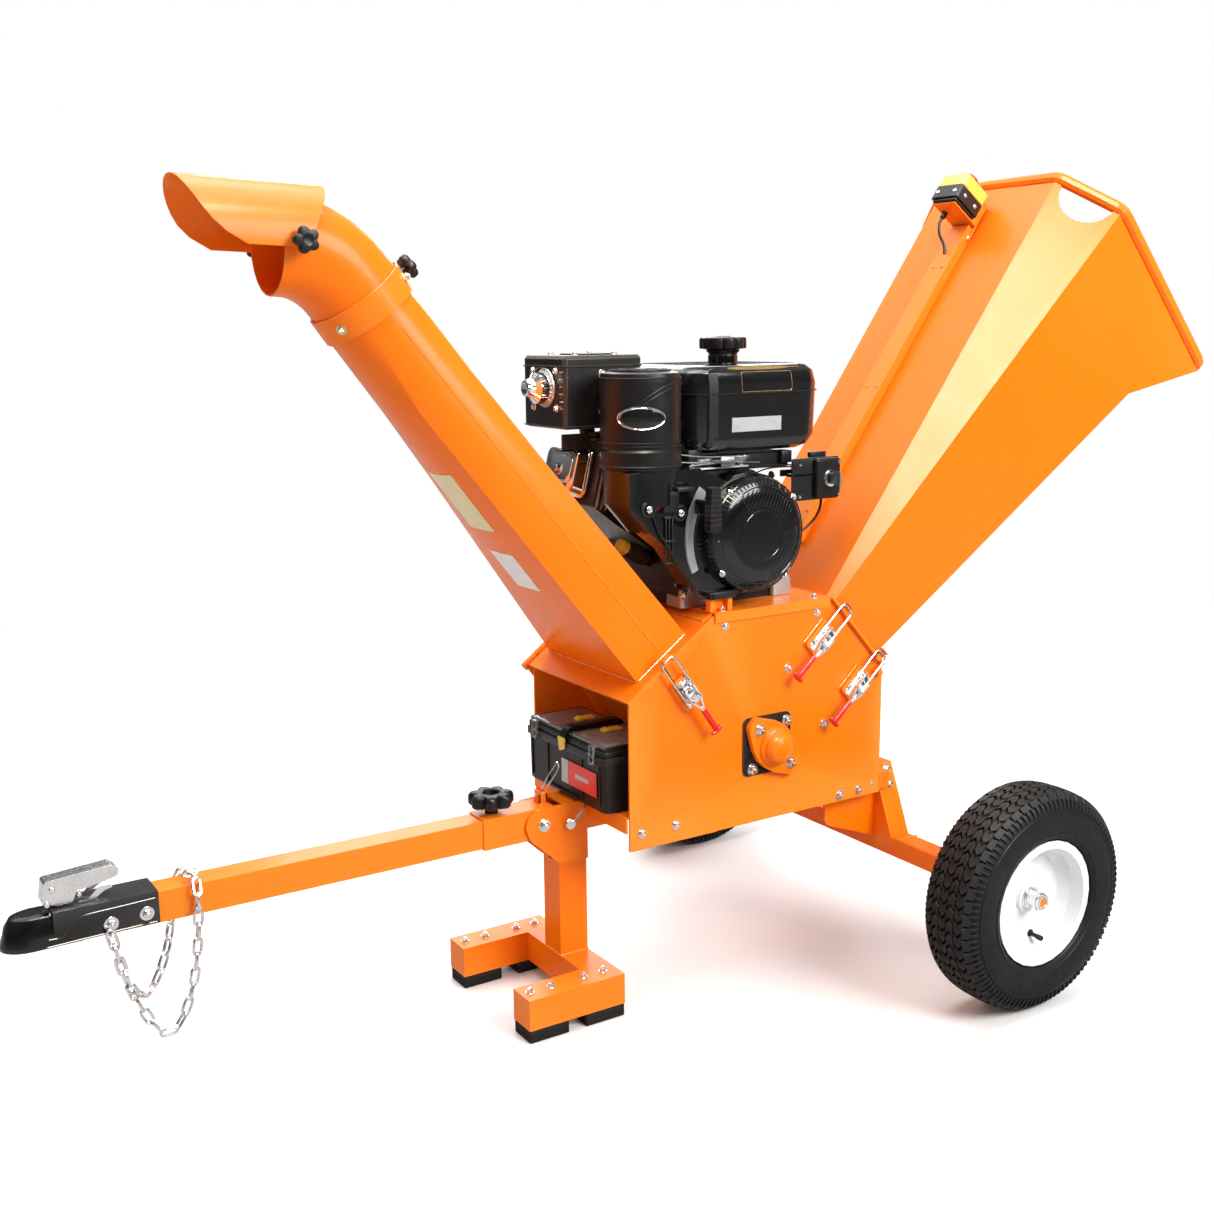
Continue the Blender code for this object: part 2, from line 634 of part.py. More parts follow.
def pulley_loop(crank_r, rotor_r, y, n=16):
    """Ring at y of a band wrapped round circles on the crank and rotor."""
    crank, rotor = Vector((CRANK_X, CRANK_Z)), Vector((ROTOR_X, ROTOR_Z))
    line = rotor - crank
    base = atan2(line.y, line.x)
    tangent = acos((crank_r - rotor_r) / line.length)
    ring = []
    for centre, r, start, turn in ((crank, crank_r, base + tangent, 2 * pi - 2 * tangent),
                                   (rotor, rotor_r, base - tangent, 2 * tangent)):
        for i in range(n + 1):
            a = start + turn * i / n
            ring.append(xz(centre.x + r * cos(a), centre.y + r * sin(a), y))
    return ring


def build_belt():
    seat, inset = .0008, .001     # gap under the belt, and at each edge

    def ring(lift, y):
        return pulley_loop(DRIVE_R + seat + lift, DRIVEN_R + seat + lift, y)

    y0, y1 = BELT_Y0 + inset, BELT_Y1 - inset
    part("drive_belt", loft([ring(BELT_T, y0), ring(BELT_T, y1), ring(0, y1), ring(0, y0)],
                            closed=True), RUBBER)


def build_belt_guard():
    """Pan open towards the housing, with a chamfered outer face."""
    wall, chamfer = .002, .004
    y0, y1 = HOUSING_HALF_W + GAP + .0045, .246

    def ring(inset, y):
        return pulley_loop(.070 - inset, .108 - inset, y)

    part("belt_guard", loft([ring(wall, y1 - wall), ring(wall, y0), ring(0, y0),
                             ring(0, y1 - chamfer), ring(chamfer, y1)]), ORANGE)


# -------------------------------------------------------------------- hinges
def build_hinge_pins():
    """Fixed pins with an end knuckle and mounting leaf at each end."""
    knuckle, pin_inset, leaf_inset = .034, .003, .002
    for name, frame, s0, s1 in (("chute", CHUTE, -.014, .200), ("hopper", HOPPER, .006, .194)):
        def hinge_rod(a, b, r, n):
            return rod(frame.at(a, HINGE_Y, HINGE_N), frame.at(b, HINGE_Y, HINGE_N), r, n)

        ob = part(name + "_hinge_pin", hinge_rod(s0 + pin_inset, s1 - pin_inset, HINGE_PIN_R, 12),
                  ORANGE)
        pieces = []
        for a, b in ((s0, s0 + knuckle), (s1 - knuckle, s1)):
            pieces.append(hinge_rod(a, b, BARREL_R - .0006, 16))
            a, b = a + leaf_inset, b - leaf_inset
            pieces.append(prism([(a, -.050), (b, -.050), (b, -.0012), (a, -.0012)],
                                frame.side_on, HOUSING_HALF_W + GAP, HOUSING_HALF_W + .0055))
        union(ob, *pieces)


def add_barrel(ob, frame, s0, s1):
    """Cut the flange back for the knuckles and weld on the hinge barrel."""
    cut(ob, rod(frame.at(s0 - .2, HINGE_Y, HINGE_N), frame.at(s1 + .2, HINGE_Y, HINGE_N),
                BARREL_R + .0006, 20))
    length = s1 - s0
    tube = lathe([(BARREL_BORE, 0), (BARREL_R, 0), (BARREL_R, length), (BARREL_BORE, length)],
                 frame.at(s0, HINGE_Y, HINGE_N), frame.along, 20, closed=True)
    # weld web from the flange edge into the barrel wall
    a, b = s0 + .0012, s1 - .0012
    n0, n1 = FLANGE_N0 + .0004, FLANGE_N1 - .0004
    web = prism([(a, n0), (b, n0), (b, n1), (a, n1)], frame.side_on,
                HOUSING_HALF_W - .010, HINGE_Y - .0066)
    union(ob, web, tube)


# ------------------------------------------------------------ discharge chute
PER_SIDE = 6                      # duct ring points on each of the four sides


def rect_ring(s0, s1, half_w):
    corners = [(s1, half_w), (s0, half_w), (s0, -half_w), (s1, -half_w)]
    return [between([a], [b], j / PER_SIDE)[0]
            for a, b in zip(corners, corners[1:] + corners[:1]) for j in range(PER_SIDE)]


def circle_ring(r):
    """Round duct ring; index 0 matches the (+s, +y) corner of rect_ring."""
    angles = [pi / 4 + 2 * pi * i / (4 * PER_SIDE) for i in range(4 * PER_SIDE)]
    return [(DUCT_TOP_S + r * cos(a), r * sin(a)) for a in angles]


def between(a, b, f):
    """Points a fraction f of the way from outline a to outline b."""
    return [tuple(p + (q - p) * f for p, q in zip(u, v)) for u, v in zip(a, b)]


def build_chute_duct():
    """Swing flange and a duct changing from rectangular to round."""
    bands = 5                     # of the rectangle-to-round transition
    base = rect_ring(DUCT_S0, DUCT_S1, DUCT_HALF_W)
    base_in = rect_ring(DUCT_S0 + SHEET, DUCT_S1 - SHEET, DUCT_HALF_W - SHEET)
    flange = rect_ring(-.006, .196, FLANGE_HALF_W)
    top, top_in = circle_ring(DUCT_TOP_R), circle_ring(DUCT_TOP_R - SHEET)
    stations = [(base_in, FLANGE_N0), (flange, FLANGE_N0), (flange, FLANGE_N1), (base, FLANGE_N1)]
    stations += [(between(base, top, i / bands), FLANGE_N1 + (DUCT_LEN - FLANGE_N1) * i / bands)
                 for i in range(1, bands)]
    stations += [(top, DUCT_LEN), (top, DUCT_LEN + DUCT_SPIGOT),
                 (top_in, DUCT_LEN + DUCT_SPIGOT), (top_in, DUCT_LEN)]
    stations += [(between(top_in, base_in, i / bands),
                  DUCT_LEN + (FLANGE_N0 - DUCT_LEN) * i / bands) for i in range(1, bands)]
    duct = loft([CHUTE.ring(pts, n) for pts, n in stations], closed=True)
    bmesh.ops.triangulate(duct, faces=duct.faces[:], quad_method="FIXED")
    ob = part("chute_duct", duct, ORANGE, origin=CHUTE_HINGE)
    add_barrel(ob, CHUTE, .0205, .1655)


def build_chute_elbow():
    """Swivelling elbow with its clamp collar, bending round to face -X."""
    steps = 5

    def circle(centre, across, r, n=24):
        y_axis = Vector((0, 1, 0))
        return [centre + across * (r * cos(2 * pi * i / n)) + y_axis * (r * sin(2 * pi * i / n))
                for i in range(n)]

    def on_axis(n):
        return CHUTE.at(DUCT_TOP_S, 0, n)

    def radial(phi):
        return Vector((sin(phi), 0, -cos(phi)))

    outer = [circle(on_axis(n), CHUTE.along, r) for n, r in
             ((COLLAR_N0, COLLAR_R), (COLLAR_N1, COLLAR_R), (COLLAR_N1 + .0006, ELBOW_R))]
    inner = [circle(on_axis(n), CHUTE.along, r) for n, r in
             ((COLLAR_N0, COLLAR_BORE), (.7915, COLLAR_BORE), (.7920, ELBOW_R - SHEET))]
    phi0 = pi / 2 + CHUTE_CUT
    bend_centre = on_axis(ELBOW_START) - radial(phi0) * ELBOW_BEND
    stations = []
    for i in range(steps + 1):
        across = radial(phi0 + (pi - phi0) * i / steps)
        stations.append((bend_centre + across * ELBOW_BEND, across))
    # short straight lip at the outlet
    across = radial(pi)
    stations.append((bend_centre + across * ELBOW_BEND + Vector((-.006, 0, 0)), across))
    for centre, across in stations:
        outer.append(circle(centre, across, ELBOW_R))
        inner.append(circle(centre, across, ELBOW_R - SHEET))
    part("chute_elbow", loft(outer + inner[::-1], closed=True), ORANGE,
         origin=tuple(on_axis(COLLAR_MID_N)), sharp_deg=24)

    seat = CHUTE.at(DUCT_TOP_S + COLLAR_R + .0006, 0, COLLAR_MID_N)
    part("elbow_knob", knob(.024, 6, .014, .030, .009, seat, CHUTE.along, .006), BLACK,
         origin=tuple(seat))


def build_chute_hood():
    """Half-round deflector, tilted about the axis of its side knob."""
    tilt, steps = radians(-2.0), 18
    rings = []
    for i in range(steps + 1):
        angle = radians(-6 + 192 * i / steps)
        rise = max(sin(angle), 0)
        x_back, x_front = .013 + .052 * rise, -(.080 + .080 * rise ** .38)
        row = []
        for x, r in ((x_back, HOOD_R), (x_front, HOOD_R), (x_front, HOOD_R - SHEET),
                     (x_back, HOOD_R - SHEET)):
            y, z = -r * cos(angle), r * sin(angle)
            row.append(Vector((HOOD_X + x * cos(tilt) + z * sin(tilt), y,
                               HOOD_Z + x * sin(tilt) + z * cos(tilt))))
        rings.append(row)
    part("chute_hood", loft(rings), ORANGE, origin=(HOOD_X, 0, HOOD_Z))
    seat = Vector((HOOD_X, -HOOD_R - .0012, HOOD_Z))
    part("hood_knob_near", knob(.0195, 6, .008, .022, .008, seat, (0, -1, 0), .006), BLACK,
         origin=tuple(seat))


# ----------------------------------------------------------------- feed hopper
def full_outline(half):
    """Full outline from its near-side half."""
    return half + [(s, -y) for s, y in reversed(half)]


# sheet outline at the mouth, and at the kink in the bottom wall below it
RIM_SHEET = offset(full_outline(HOPPER_RIM), RIM_R - SHEET / 2)
KINK_HALF = between(HOPPER_BASE, RIM_SHEET[:3],
                    (HOPPER_KINK_N - FLANGE_N1) / (HOPPER_SHEET_N - FLANGE_N1))
KINK_HALF[2] = (HOPPER_KINK_S, KINK_HALF[1][1])


def hand_openings():
    """Cutters for half-round openings in the chamfer facets, under the rim."""
    a, b = Vector(HOPPER_RIM[0]), Vector(HOPPER_RIM[1])
    middle = (a + b) / 2
    facet = (b - a).normalized()
    normal = Vector((facet.y, -facet.x))
    cutters = []
    for sign in (1, -1):
        centre = HOPPER.at(middle.x, sign * middle.y, HOPPER_SHEET_N + .004)
        axis = HOPPER.along * normal.x + Vector((0, sign * normal.y, 0))
        cutters.append(rod(centre - axis * .045, centre + axis * .045, .056, 24))
    return cutters


def build_hopper_cone():
    base, kink = full_outline(HOPPER_BASE), full_outline(KINK_HALF)
    flange = full_outline([(-.004, -.144), (-.004, -FLANGE_HALF_W), (.190, -FLANGE_HALF_W)])
    stations = [(offset(base, SHEET), FLANGE_N0), (flange, FLANGE_N0), (flange, FLANGE_N1),
                (base, FLANGE_N1), (kink, HOPPER_KINK_N), (RIM_SHEET, HOPPER_SHEET_N),
                (offset(RIM_SHEET, SHEET), HOPPER_SHEET_N), (offset(kink, SHEET), HOPPER_KINK_N)]
    ob = part("hopper_cone", loft([HOPPER.ring(pts, n) for pts, n in stations], closed=True),
              ORANGE, origin=HOPPER_HINGE, sharp_deg=15)
    cut(ob, *hand_openings())
    add_barrel(ob, HOPPER, .0405, .1595)


def build_hopper_rim():
    """Round bar about the mouth."""
    outline = rounded(offset(full_outline(HOPPER_RIM), RIM_R), [.03, .03, .022, .022, .03, .03], 3)
    path = HOPPER.ring(outline, HOPPER_RIM_N - RIM_R)
    part("hopper_rim", sweep(path, RIM_R, 10, True, HOPPER.out), ORANGE,
         origin=HOPPER_HINGE, sharp_deg=40)


def build_estop():
    """Cable channel up the hopper's top face, emergency stop at its head."""
    foot = HOPPER.at(HOPPER_BASE[0][0], 0, FLANGE_N1)
    up_wall = (HOPPER.at(KINK_HALF[0][0], 0, HOPPER_KINK_N) - foot).normalized()
    off_wall = Vector((-up_wall.z, 0, up_wall.x))

    def place(y, out, up):
        return foot + Vector((0, y, 0)) + off_wall * out + up_wall * up

    centre_y, half_w, depth, wall = .017, .0235, .020, .002
    y0, y1 = centre_y - half_w, centre_y + half_w
    profile = [(y0, GAP), (y0, depth), (y1, depth), (y1, GAP), (y1 - wall, GAP),
               (y1 - wall, depth - wall), (y0 + wall, depth - wall), (y0 + wall, GAP)]
    part("estop_channel", prism(profile, place, .100, .842), ORANGE, origin=HOPPER_HINGE)

    box_half_w, box_out0, box_out1, box_up0, box_up1 = .036, .021, .093, .846, .912
    y0, y1 = centre_y - box_half_w, centre_y + box_half_w
    outline = rounded([(y0, box_out0), (y1, box_out0), (y1, box_out1), (y0, box_out1)], .005, 2)
    ob = part("estop_box", prism(outline, place, box_up0, box_up1), YELLOW, origin=HOPPER_HINGE)
    seat = place(centre_y, (box_out0 + box_out1) / 2, box_up1)
    cut(ob, rod(seat - up_wall * .012, seat + up_wall * .01, .0112, 20))

    profile = [(0, -.0055), (.0108, -.0055), (.0108, .0085), (.0195, .0105), (.0200, .0150),
               (.0160, .0190), (.008, .0205), (0, .0208)]
    part("estop_button", lathe(profile, seat, up_wall, 24), RED, origin=tuple(seat))


# --------------------------------------------------------------- side latches
def build_latches():
    lever_y, lever_pivot_n = -.180, -.055
    bolt_y, bolt_pivot_n, bolt_r = -.1793, -.080, .0025
    # lever corners: s from the latch centre, n, corner radius
    lever = [(-.008, -.0505, .005), (.008, -.0505, .005), (.008, -.096, 0), (.0048, -.106, 0),
             (.0048, -.1525, 0), (.0155, -.1525, .004), (.0155, -.1615, .004),
             (-.0155, -.1615, .004), (-.0155, -.1525, .004), (-.0048, -.1525, 0),
             (-.0048, -.106, 0), (-.008, -.096, 0)]
    radii = [r for _, _, r in lever]
    # U-bolt path: s from the latch centre, n
    half_w, hook_n = .0145, .0125
    leg = [(-half_w, bolt_pivot_n), (-half_w, hook_n - .008), (-half_w + .003, hook_n - .002),
           (-half_w + .008, hook_n)]
    ubolt = leg + [(-s, n) for s, n in reversed(leg)]
    for tag, frame, latch_s in LATCHES:
        outline = rounded([(latch_s + s, n) for s, n, _ in lever], radii, 2)
        part("latch_lever_" + tag,
             prism(outline, frame.side_on, lever_y - .0122, lever_y - .0045), ZINC,
             origin=tuple(frame.at(latch_s, lever_y, lever_pivot_n)))
        path = [frame.at(latch_s + s, bolt_y, n) for s, n in ubolt]
        part("latch_ubolt_" + tag, sweep(path, bolt_r, 8, False, (0, 1, 0)), ZINC,
             origin=tuple(frame.at(latch_s, bolt_y, bolt_pivot_n)))


# --------------------------------------------------------------------- engine
OIL_CAP_SEAT = Vector((-.5182, -.005, .8126))
AIR_X, AIR_Y = -.545, -.095       # air cleaner axis


def build_engine_block():
    """Crankcase with mounting foot, inclined cylinder and oil filler neck."""
    base = DECK_Z + GAP
    # (x, z) outlines
    case = rounded([(-.470, base + .020), (-.235, base + .020), (-.232, .80), (-.250, .905),
                    (-.300, .948), (-.400, .955), (-.470, .930)],
                   [.004, .004, .01, .03, .03, .03, .02], 2)
    foot = rounded([(-.4675, base), (-.215, base), (-.215, base + .024),
                    (-.4675, base + .024)], .003, 1)
    cylinder = [(-.455, .800), (-.420, .945), (-.470, .975), (-.5696, 1.0024),
                (-.5964, .8956), (-.550, .860)]
    ob = part("engine_block", prism(case, xz, -.0950, .1300), ALLOY)
    union(ob, prism(foot, xz, -.0945, .120), prism(cylinder, xz, -.0195, .1250),
          rod((-.455, -.005, .780), (-.5180, -.005, .8125), .0125))


def build_valve_cover():
    centre = Vector((-.5830, .053, .9490))
    out = Vector((-.970, 0, .243)).normalized()
    up = Vector((.243, 0, .970)).normalized()
    half_y, half_up = .052, .045
    outline = rounded([(half_y, half_up), (-half_y, half_up), (-half_y, -half_up),
                       (half_y, -half_up)], .014, 3)
    # (height, scale) of each ring
    stations = ((.0045, 1.0), (.009, 1.0), (.011, .90), (.030, .84), (.036, .62))
    part("valve_cover", loft([[centre + Vector((0, u * k, 0)) + up * (v * k) + out * h
                               for u, v in outline] for h, k in stations]), CHROME)


def build_blower_housing():
    """Blower case with recoil cover, air cleaner base and handle rest."""
    case_r, steps = .107, 18
    # (x, z) side lobe, closed by an arc round the crank
    outline = [(-.4600, .963), (-.6040, .963), (-.6040, .906), (-.560, .856), (-.520, .8250),
               (-.4600, .7420), (-.430, .7370)]
    for i in range(steps + 1):
        a = radians(-100 + 218 * i / steps)
        outline.append((CRANK_X + case_r * cos(a), CRANK_Z + case_r * sin(a)))
    ob = part("blower_housing", prism(outline, xz, -.1500, -.0953), BLACK)
    recoil = lathe([(0, .0355), (.060, .0355), (.088, .031), (.1005, .021), (.1045, .006),
                    (.1045, -.001), (0, -.001)], (CRANK_X, -.1500, CRANK_Z), (0, -1, 0), 28)
    air_base = lathe([(0, .8560), (.024, .8560), (.0655, .9060), (.0655, .9645), (0, .9645)],
                     (AIR_X, AIR_Y, 0), (0, 0, 1), 24)
    union(ob, recoil, air_base, box(-.4735, -.4580, -.1862, -.149, .886, .912, .002))


def build_pull_handle():
    outline = rounded([(-.478, .858), (-.453, .858), (-.456, .936), (-.475, .936)], .006, 2)
    part("pull_handle", prism(outline, xz, -.2050, -.1868), BLACK,
         origin=(-.4655, -.1868, .897))


def build_muffler():
    ob = part("muffler", box(-.650, -.490, -.0200, .123, 1.030, 1.155, .006), BLACK_PAINT)
    outlet_y, outlet_z = .045, 1.100
    union(ob, rod((-.650, outlet_y, outlet_z), (-.672, outlet_y, outlet_z), .026, 20),
          rod((-.668, outlet_y, outlet_z), (-.690, outlet_y, outlet_z), .013),
          rod((-.560, .060, 1.040), (-.5560, .060, 1.0165), .014, 14))


def build_air_cleaner():
    # (radius, z)
    profile = [(0, .9653), (.0690, .9653), (.0700, .970), (.0700, .996), (.0670, 1.000),
               (.0670, 1.006), (.0690, 1.010), (.0700, 1.110), (.0670, 1.126), (.050, 1.130),
               (0, 1.130)]
    part("air_cleaner", lathe(profile, (AIR_X, AIR_Y, 0), (0, 0, 1), 24), BLACK)


def build_fuel_tank():
    levels = ((.983, .022), (.990, .010), (1.008, .002), (1.100, 0), (1.122, .004),
              (1.132, .014), (1.135, .030))
    cap_x, neck_top = -.300, 1.1495
    ob = part("fuel_tank", slab(-.3060, .020, .1450, .145, .045, levels), BLACK)
    union(ob, rod((cap_x, 0, 1.120), (cap_x, 0, neck_top), .027, 20))
    # the cap's head starts right on the neck, without a stem
    seat = Vector((cap_x, 0, neck_top + .0005))
    part("fuel_cap", knob(.043, 8, 0, .034, .030, seat, (0, 0, 1), .030), BLACK,
         origin=tuple(seat))


def build_oil_cap():
    axis = Vector((-.0630, 0, .0325))
    profile = [(0, GAP), (.0135, GAP), (.0145, .004), (.0145, .014), (.011, .018), (0, .018)]
    part("oil_cap", lathe(profile, OIL_CAP_SEAT, axis, 16), YELLOW, origin=tuple(OIL_CAP_SEAT))


def build_key_switch():
    levels = ((.888, .003), (.892, 0), (.958, 0), (.962, .003))
    ob = part("key_switch_box", slab(-.153, -.112, .030, .020, .008, levels, 2), BLACK)
    # tab back to the engine
    union(ob, prism([(-.230, .930), (-.180, .930), (-.180, .936), (-.230, .936)],
                    xz, -.120, -.100))
    seat = Vector((-.150, -.1323, .925))
    half_t = .0025
    # (y from the seat, half height): blade, then a taller grip
    stations = ((0, .010), (-.010, .010), (-.0104, .013), (-.028, .013))
    part("ignition_key", loft([[seat + Vector((x, y, z)) for x, z in
                                ((-half_t, -h), (half_t, -h), (half_t, h), (-half_t, h))]
                               for y, h in stations]), STEEL, origin=tuple(seat))


def build_throttle_lever():
    z = .9686
    outline = rounded([(-.415, -.122), (-.395, -.102), (-.352, -.140), (-.372, -.160)], .008, 2)
    part("throttle_lever", prism(outline, xy, z, z + .003), STEEL, origin=(-.405, -.112, z))


# --------------------------------------------------------------------- wheels
def build_wheels():
    # (radius, distance outwards from the wheel centre)
    tyre = [(.1012, -.0460), (.1012, .0460), (.1150, .0462), (.1185, .052), (.150, .0590),
            (.184, .0550), (.1985, .0440), (WHEEL_R, .014), (WHEEL_R, -.014), (.1985, -.0440),
            (.184, -.0550), (.150, -.0590), (.1185, -.052), (.1150, -.0462)]
    rim = [(.0128, -.052), (.0260, -.052), (.0260, .0020), (.080, .0020), (.0962, .0160),
           (.0972, -.0500), (.1120, -.0512), (.1142, -.0480), (.1005, -.0466), (.1005, .0466),
           (.1135, .0474), (.1142, .0506), (.0995, .0506), (.0955, .0260), (.079, .0085),
           (.0260, .0085), (.0260, .0160), (.0128, .0160)]
    for side, sign in SIDES:
        centre, axis = (0, sign * WHEEL_Y, WHEEL_R), (0, sign, 0)
        part("tyre_" + side, lathe(tyre, centre, axis, 30, closed=True), RUBBER, origin=centre)
        part("wheel_rim_" + side, lathe(rim, centre, axis, 28, closed=True), WHITE,
             origin=centre)


# ------------------------------------------------------------------ tow hitch
def build_tow_bar():
    ob = part("tow_sleeve", square_tube(-.8310, -.6905, SLEEVE_HALF, .0026), ORANGE,
              origin=(PIVOT_X, 0, PIVOT_Z))
    cut(ob, rod_y(PIVOT_X, PIVOT_Z, -.05, .05, .0070))
    front_x = -1.4700
    part("tow_bar", square_tube(front_x, -.7450, BAR_HALF, .003), ORANGE,
         origin=(front_x, 0, HITCH_Z))
    seat = Vector((-.800, 0, HITCH_Z + SLEEVE_HALF + .0005))
    part("sleeve_knob", knob(.041, 7, .016, .042, .014, seat, (0, 0, 1), .009), BLACK,
         origin=tuple(seat))


def build_hitch_pin():
    profile = [(0, -.046), (.009, -.046), (.009, -.0400), (.0058, -.0396), (.0058, .0460),
               (.004, .048), (0, .048)]
    centre = (PIN_X, 0, PIN_Z)
    part("hitch_pin", lathe(profile, centre, (0, 1, 0), 16), ZINC, origin=centre)


def build_coupler():
    """Ball coupler: channel over the bar and a socket nose."""
    ball_x, ball_z, ball_r = -1.572, .3290, .0260
    inner, outer = BAR_HALF + .0003, BAR_HALF + .0063
    lip_z, roof_z = HITCH_Z - BAR_HALF + .004, HITCH_Z + inner
    top_z = HITCH_Z + BAR_HALF + .0045
    # (y, z)
    channel = [(-outer, lip_z), (-inner, lip_z), (-inner, roof_z), (inner, roof_z),
               (inner, lip_z), (outer, lip_z), (outer, top_z), (-outer, top_z)]
    ob = part("coupler", prism(channel, yz, -1.540, -1.387), BLACK_PAINT,
              origin=(ball_x, 0, .326))

    # nose plan: half ellipse round the ball, then the straight end
    plan = []
    for i in range(13):
        a = radians(90 + 180 * i / 12)
        plan.append((ball_x + .0400 * cos(a), .0330 * sin(a)))
    plan += [(-1.500, -.0315), (-1.500, .0315)]
    taper_x = -1.555              # the plan shrinks upwards towards this x
    # (scale, z)
    stations = ((1.0, .3175), (1.0, .3255), (.92, .337), (.86, .351), (.72, .363), (.50, .3670))
    nose = part("nose", loft([[Vector((taper_x + (x - taper_x) * k, y * k, z)) for x, y in plan]
                              for k, z in stations]))
    cut(nose, box(-1.533, -1.49, -inner, inner, .30, roof_z))
    ball = bmesh.new()
    bmesh.ops.create_uvsphere(ball, u_segments=20, v_segments=12, radius=ball_r)
    bmesh.ops.translate(ball, vec=(ball_x, 0, ball_z), verts=ball.verts)
    cut(nose, ball)
    union(ob, nose)


def build_coupler_latch():
    # (x, z)
    outline = rounded([(-1.551, .3790), (-1.528, .3730), (-1.508, .3740), (-1.500, .3900),
                       (-1.478, .3930), (-1.440, .4010), (-1.438, .4120), (-1.450, .4200),
                       (-1.546, .4130)], .003, 1)
    part("coupler_latch", prism(outline, xz, -.0150, .0150), ZINC, origin=(-1.540, 0, .3900))


# -------------------------------------------------------------------- toolbox
def build_toolbox():
    x0, x1, half_y, wall = -.650, -.530, .135, .004
    base = TRAY_TOP + GAP

    def shell(name, levels, hollow_levels, origin=(0, 0, 0)):
        centre_x, half_x = (x0 + x1) / 2, (x1 - x0) / 2
        ob = part(name, slab(centre_x, 0, half_x, half_y, .010, levels, 2), BLACK,
                  origin=origin)
        cut(ob, slab(centre_x, 0, half_x - wall, half_y - wall, .008, hollow_levels, 2))

    shell("toolbox", ((base, .004), (base + .004, .001), (.4740, 0)),
          ((base + wall, .002), (.4900, 0)))
    shell("toolbox_lid", ((.4743, 0), (.4880, 0), (.4950, .006)),
          ((.4700, 0), (.4910, .002)), origin=(x1 + .001, 0, .4760))


# ------------------------------------------------------------------- assembly
clear_scene()
for build in (
        build_side_plates, build_deck_plate, build_rotor_housing, build_bed_knife,
        build_main_beam, build_front_stand, build_foot_pads, build_axle_frame,
        build_bearing_plate, build_bearings, build_rotor_drum, build_pulleys, build_belt,
        build_belt_guard, build_hinge_pins, build_chute_duct, build_chute_elbow,
        build_chute_hood, build_hopper_cone, build_hopper_rim, build_estop, build_latches,
        build_engine_block, build_valve_cover, build_blower_housing, build_pull_handle,
        build_muffler, build_air_cleaner, build_fuel_tank, build_oil_cap, build_key_switch,
        build_throttle_lever, build_wheels, build_tow_bar, build_hitch_pin, build_coupler,
        build_coupler_latch, build_toolbox):
    build()

# the origin is on the ground, in the middle of the whole object's footprint
for placed in bpy.data.objects:
    placed.location.x += FOOTPRINT_SHIFT_X
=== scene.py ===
"""Looks of the towable wood chipper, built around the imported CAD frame."""
import bpy
import bmesh
import json
import math
import random
from mathutils import Vector, Matrix


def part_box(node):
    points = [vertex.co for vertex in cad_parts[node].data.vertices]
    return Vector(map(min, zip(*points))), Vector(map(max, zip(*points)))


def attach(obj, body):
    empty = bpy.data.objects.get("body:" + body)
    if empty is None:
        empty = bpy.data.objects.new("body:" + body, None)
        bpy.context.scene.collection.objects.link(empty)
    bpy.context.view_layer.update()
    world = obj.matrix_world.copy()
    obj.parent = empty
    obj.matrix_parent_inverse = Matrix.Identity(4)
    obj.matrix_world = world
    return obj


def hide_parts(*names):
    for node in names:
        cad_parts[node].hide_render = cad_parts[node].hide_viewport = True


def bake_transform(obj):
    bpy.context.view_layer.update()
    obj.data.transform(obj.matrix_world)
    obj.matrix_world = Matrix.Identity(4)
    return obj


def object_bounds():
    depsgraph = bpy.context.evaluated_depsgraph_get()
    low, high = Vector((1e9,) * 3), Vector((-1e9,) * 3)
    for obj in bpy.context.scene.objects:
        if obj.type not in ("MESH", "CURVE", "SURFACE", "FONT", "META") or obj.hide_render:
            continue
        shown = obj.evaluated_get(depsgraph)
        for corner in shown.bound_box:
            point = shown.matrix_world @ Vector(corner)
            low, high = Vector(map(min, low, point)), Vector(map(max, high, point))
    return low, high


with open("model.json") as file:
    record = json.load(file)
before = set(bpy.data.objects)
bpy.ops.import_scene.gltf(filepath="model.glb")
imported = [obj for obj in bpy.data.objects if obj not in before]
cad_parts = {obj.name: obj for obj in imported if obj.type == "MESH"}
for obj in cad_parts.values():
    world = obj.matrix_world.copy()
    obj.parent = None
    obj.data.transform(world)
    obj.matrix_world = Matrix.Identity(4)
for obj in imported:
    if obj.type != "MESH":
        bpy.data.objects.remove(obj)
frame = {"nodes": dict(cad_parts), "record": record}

CAD_BOX = [list(v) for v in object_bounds()]
NODES = frame["nodes"]
R = math.radians
V = Vector
# everything below is laid out from the point on the ground under the wheel axle
UNDER_AXLE = V((CAD_BOX[0][0] + 1.612, 0, 0))


def box_of(node):
    lo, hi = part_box(node)
    return V(lo) - UNDER_AXLE, V(hi) - UNDER_AXLE


rnd = random.Random(7)
COLL = bpy.context.scene.collection

# ------------------------------------------------------------ CAD dimensions
HALF_W = 0.166
C36, S36, C48, S48 = math.cos(R(36)), math.sin(R(36)), math.cos(R(48)), math.sin(R(48))
ROTOR = V((-.312, 0, .451))
CRANK = V((-.350, 0, .842))
WHEEL_Y, WHEEL_R = .496, .203
HITCH_Z = .3405


def CH(s, y, n):
    return V((-.619 + C36 * s - S36 * n, y, .578 + S36 * s + C36 * n))


def HO(s, y, n):
    return V((-.174 + C48 * s + S48 * n, y, .705 - S48 * s + C48 * n))


CD, CN = V((C36, 0, S36)), V((-S36, 0, C36))
HD, HN = V((C48, 0, -S48)), V((S48, 0, C48))
Y = V((0, 1, 0))
Z = V((0, 0, 1))
X = V((1, 0, 0))


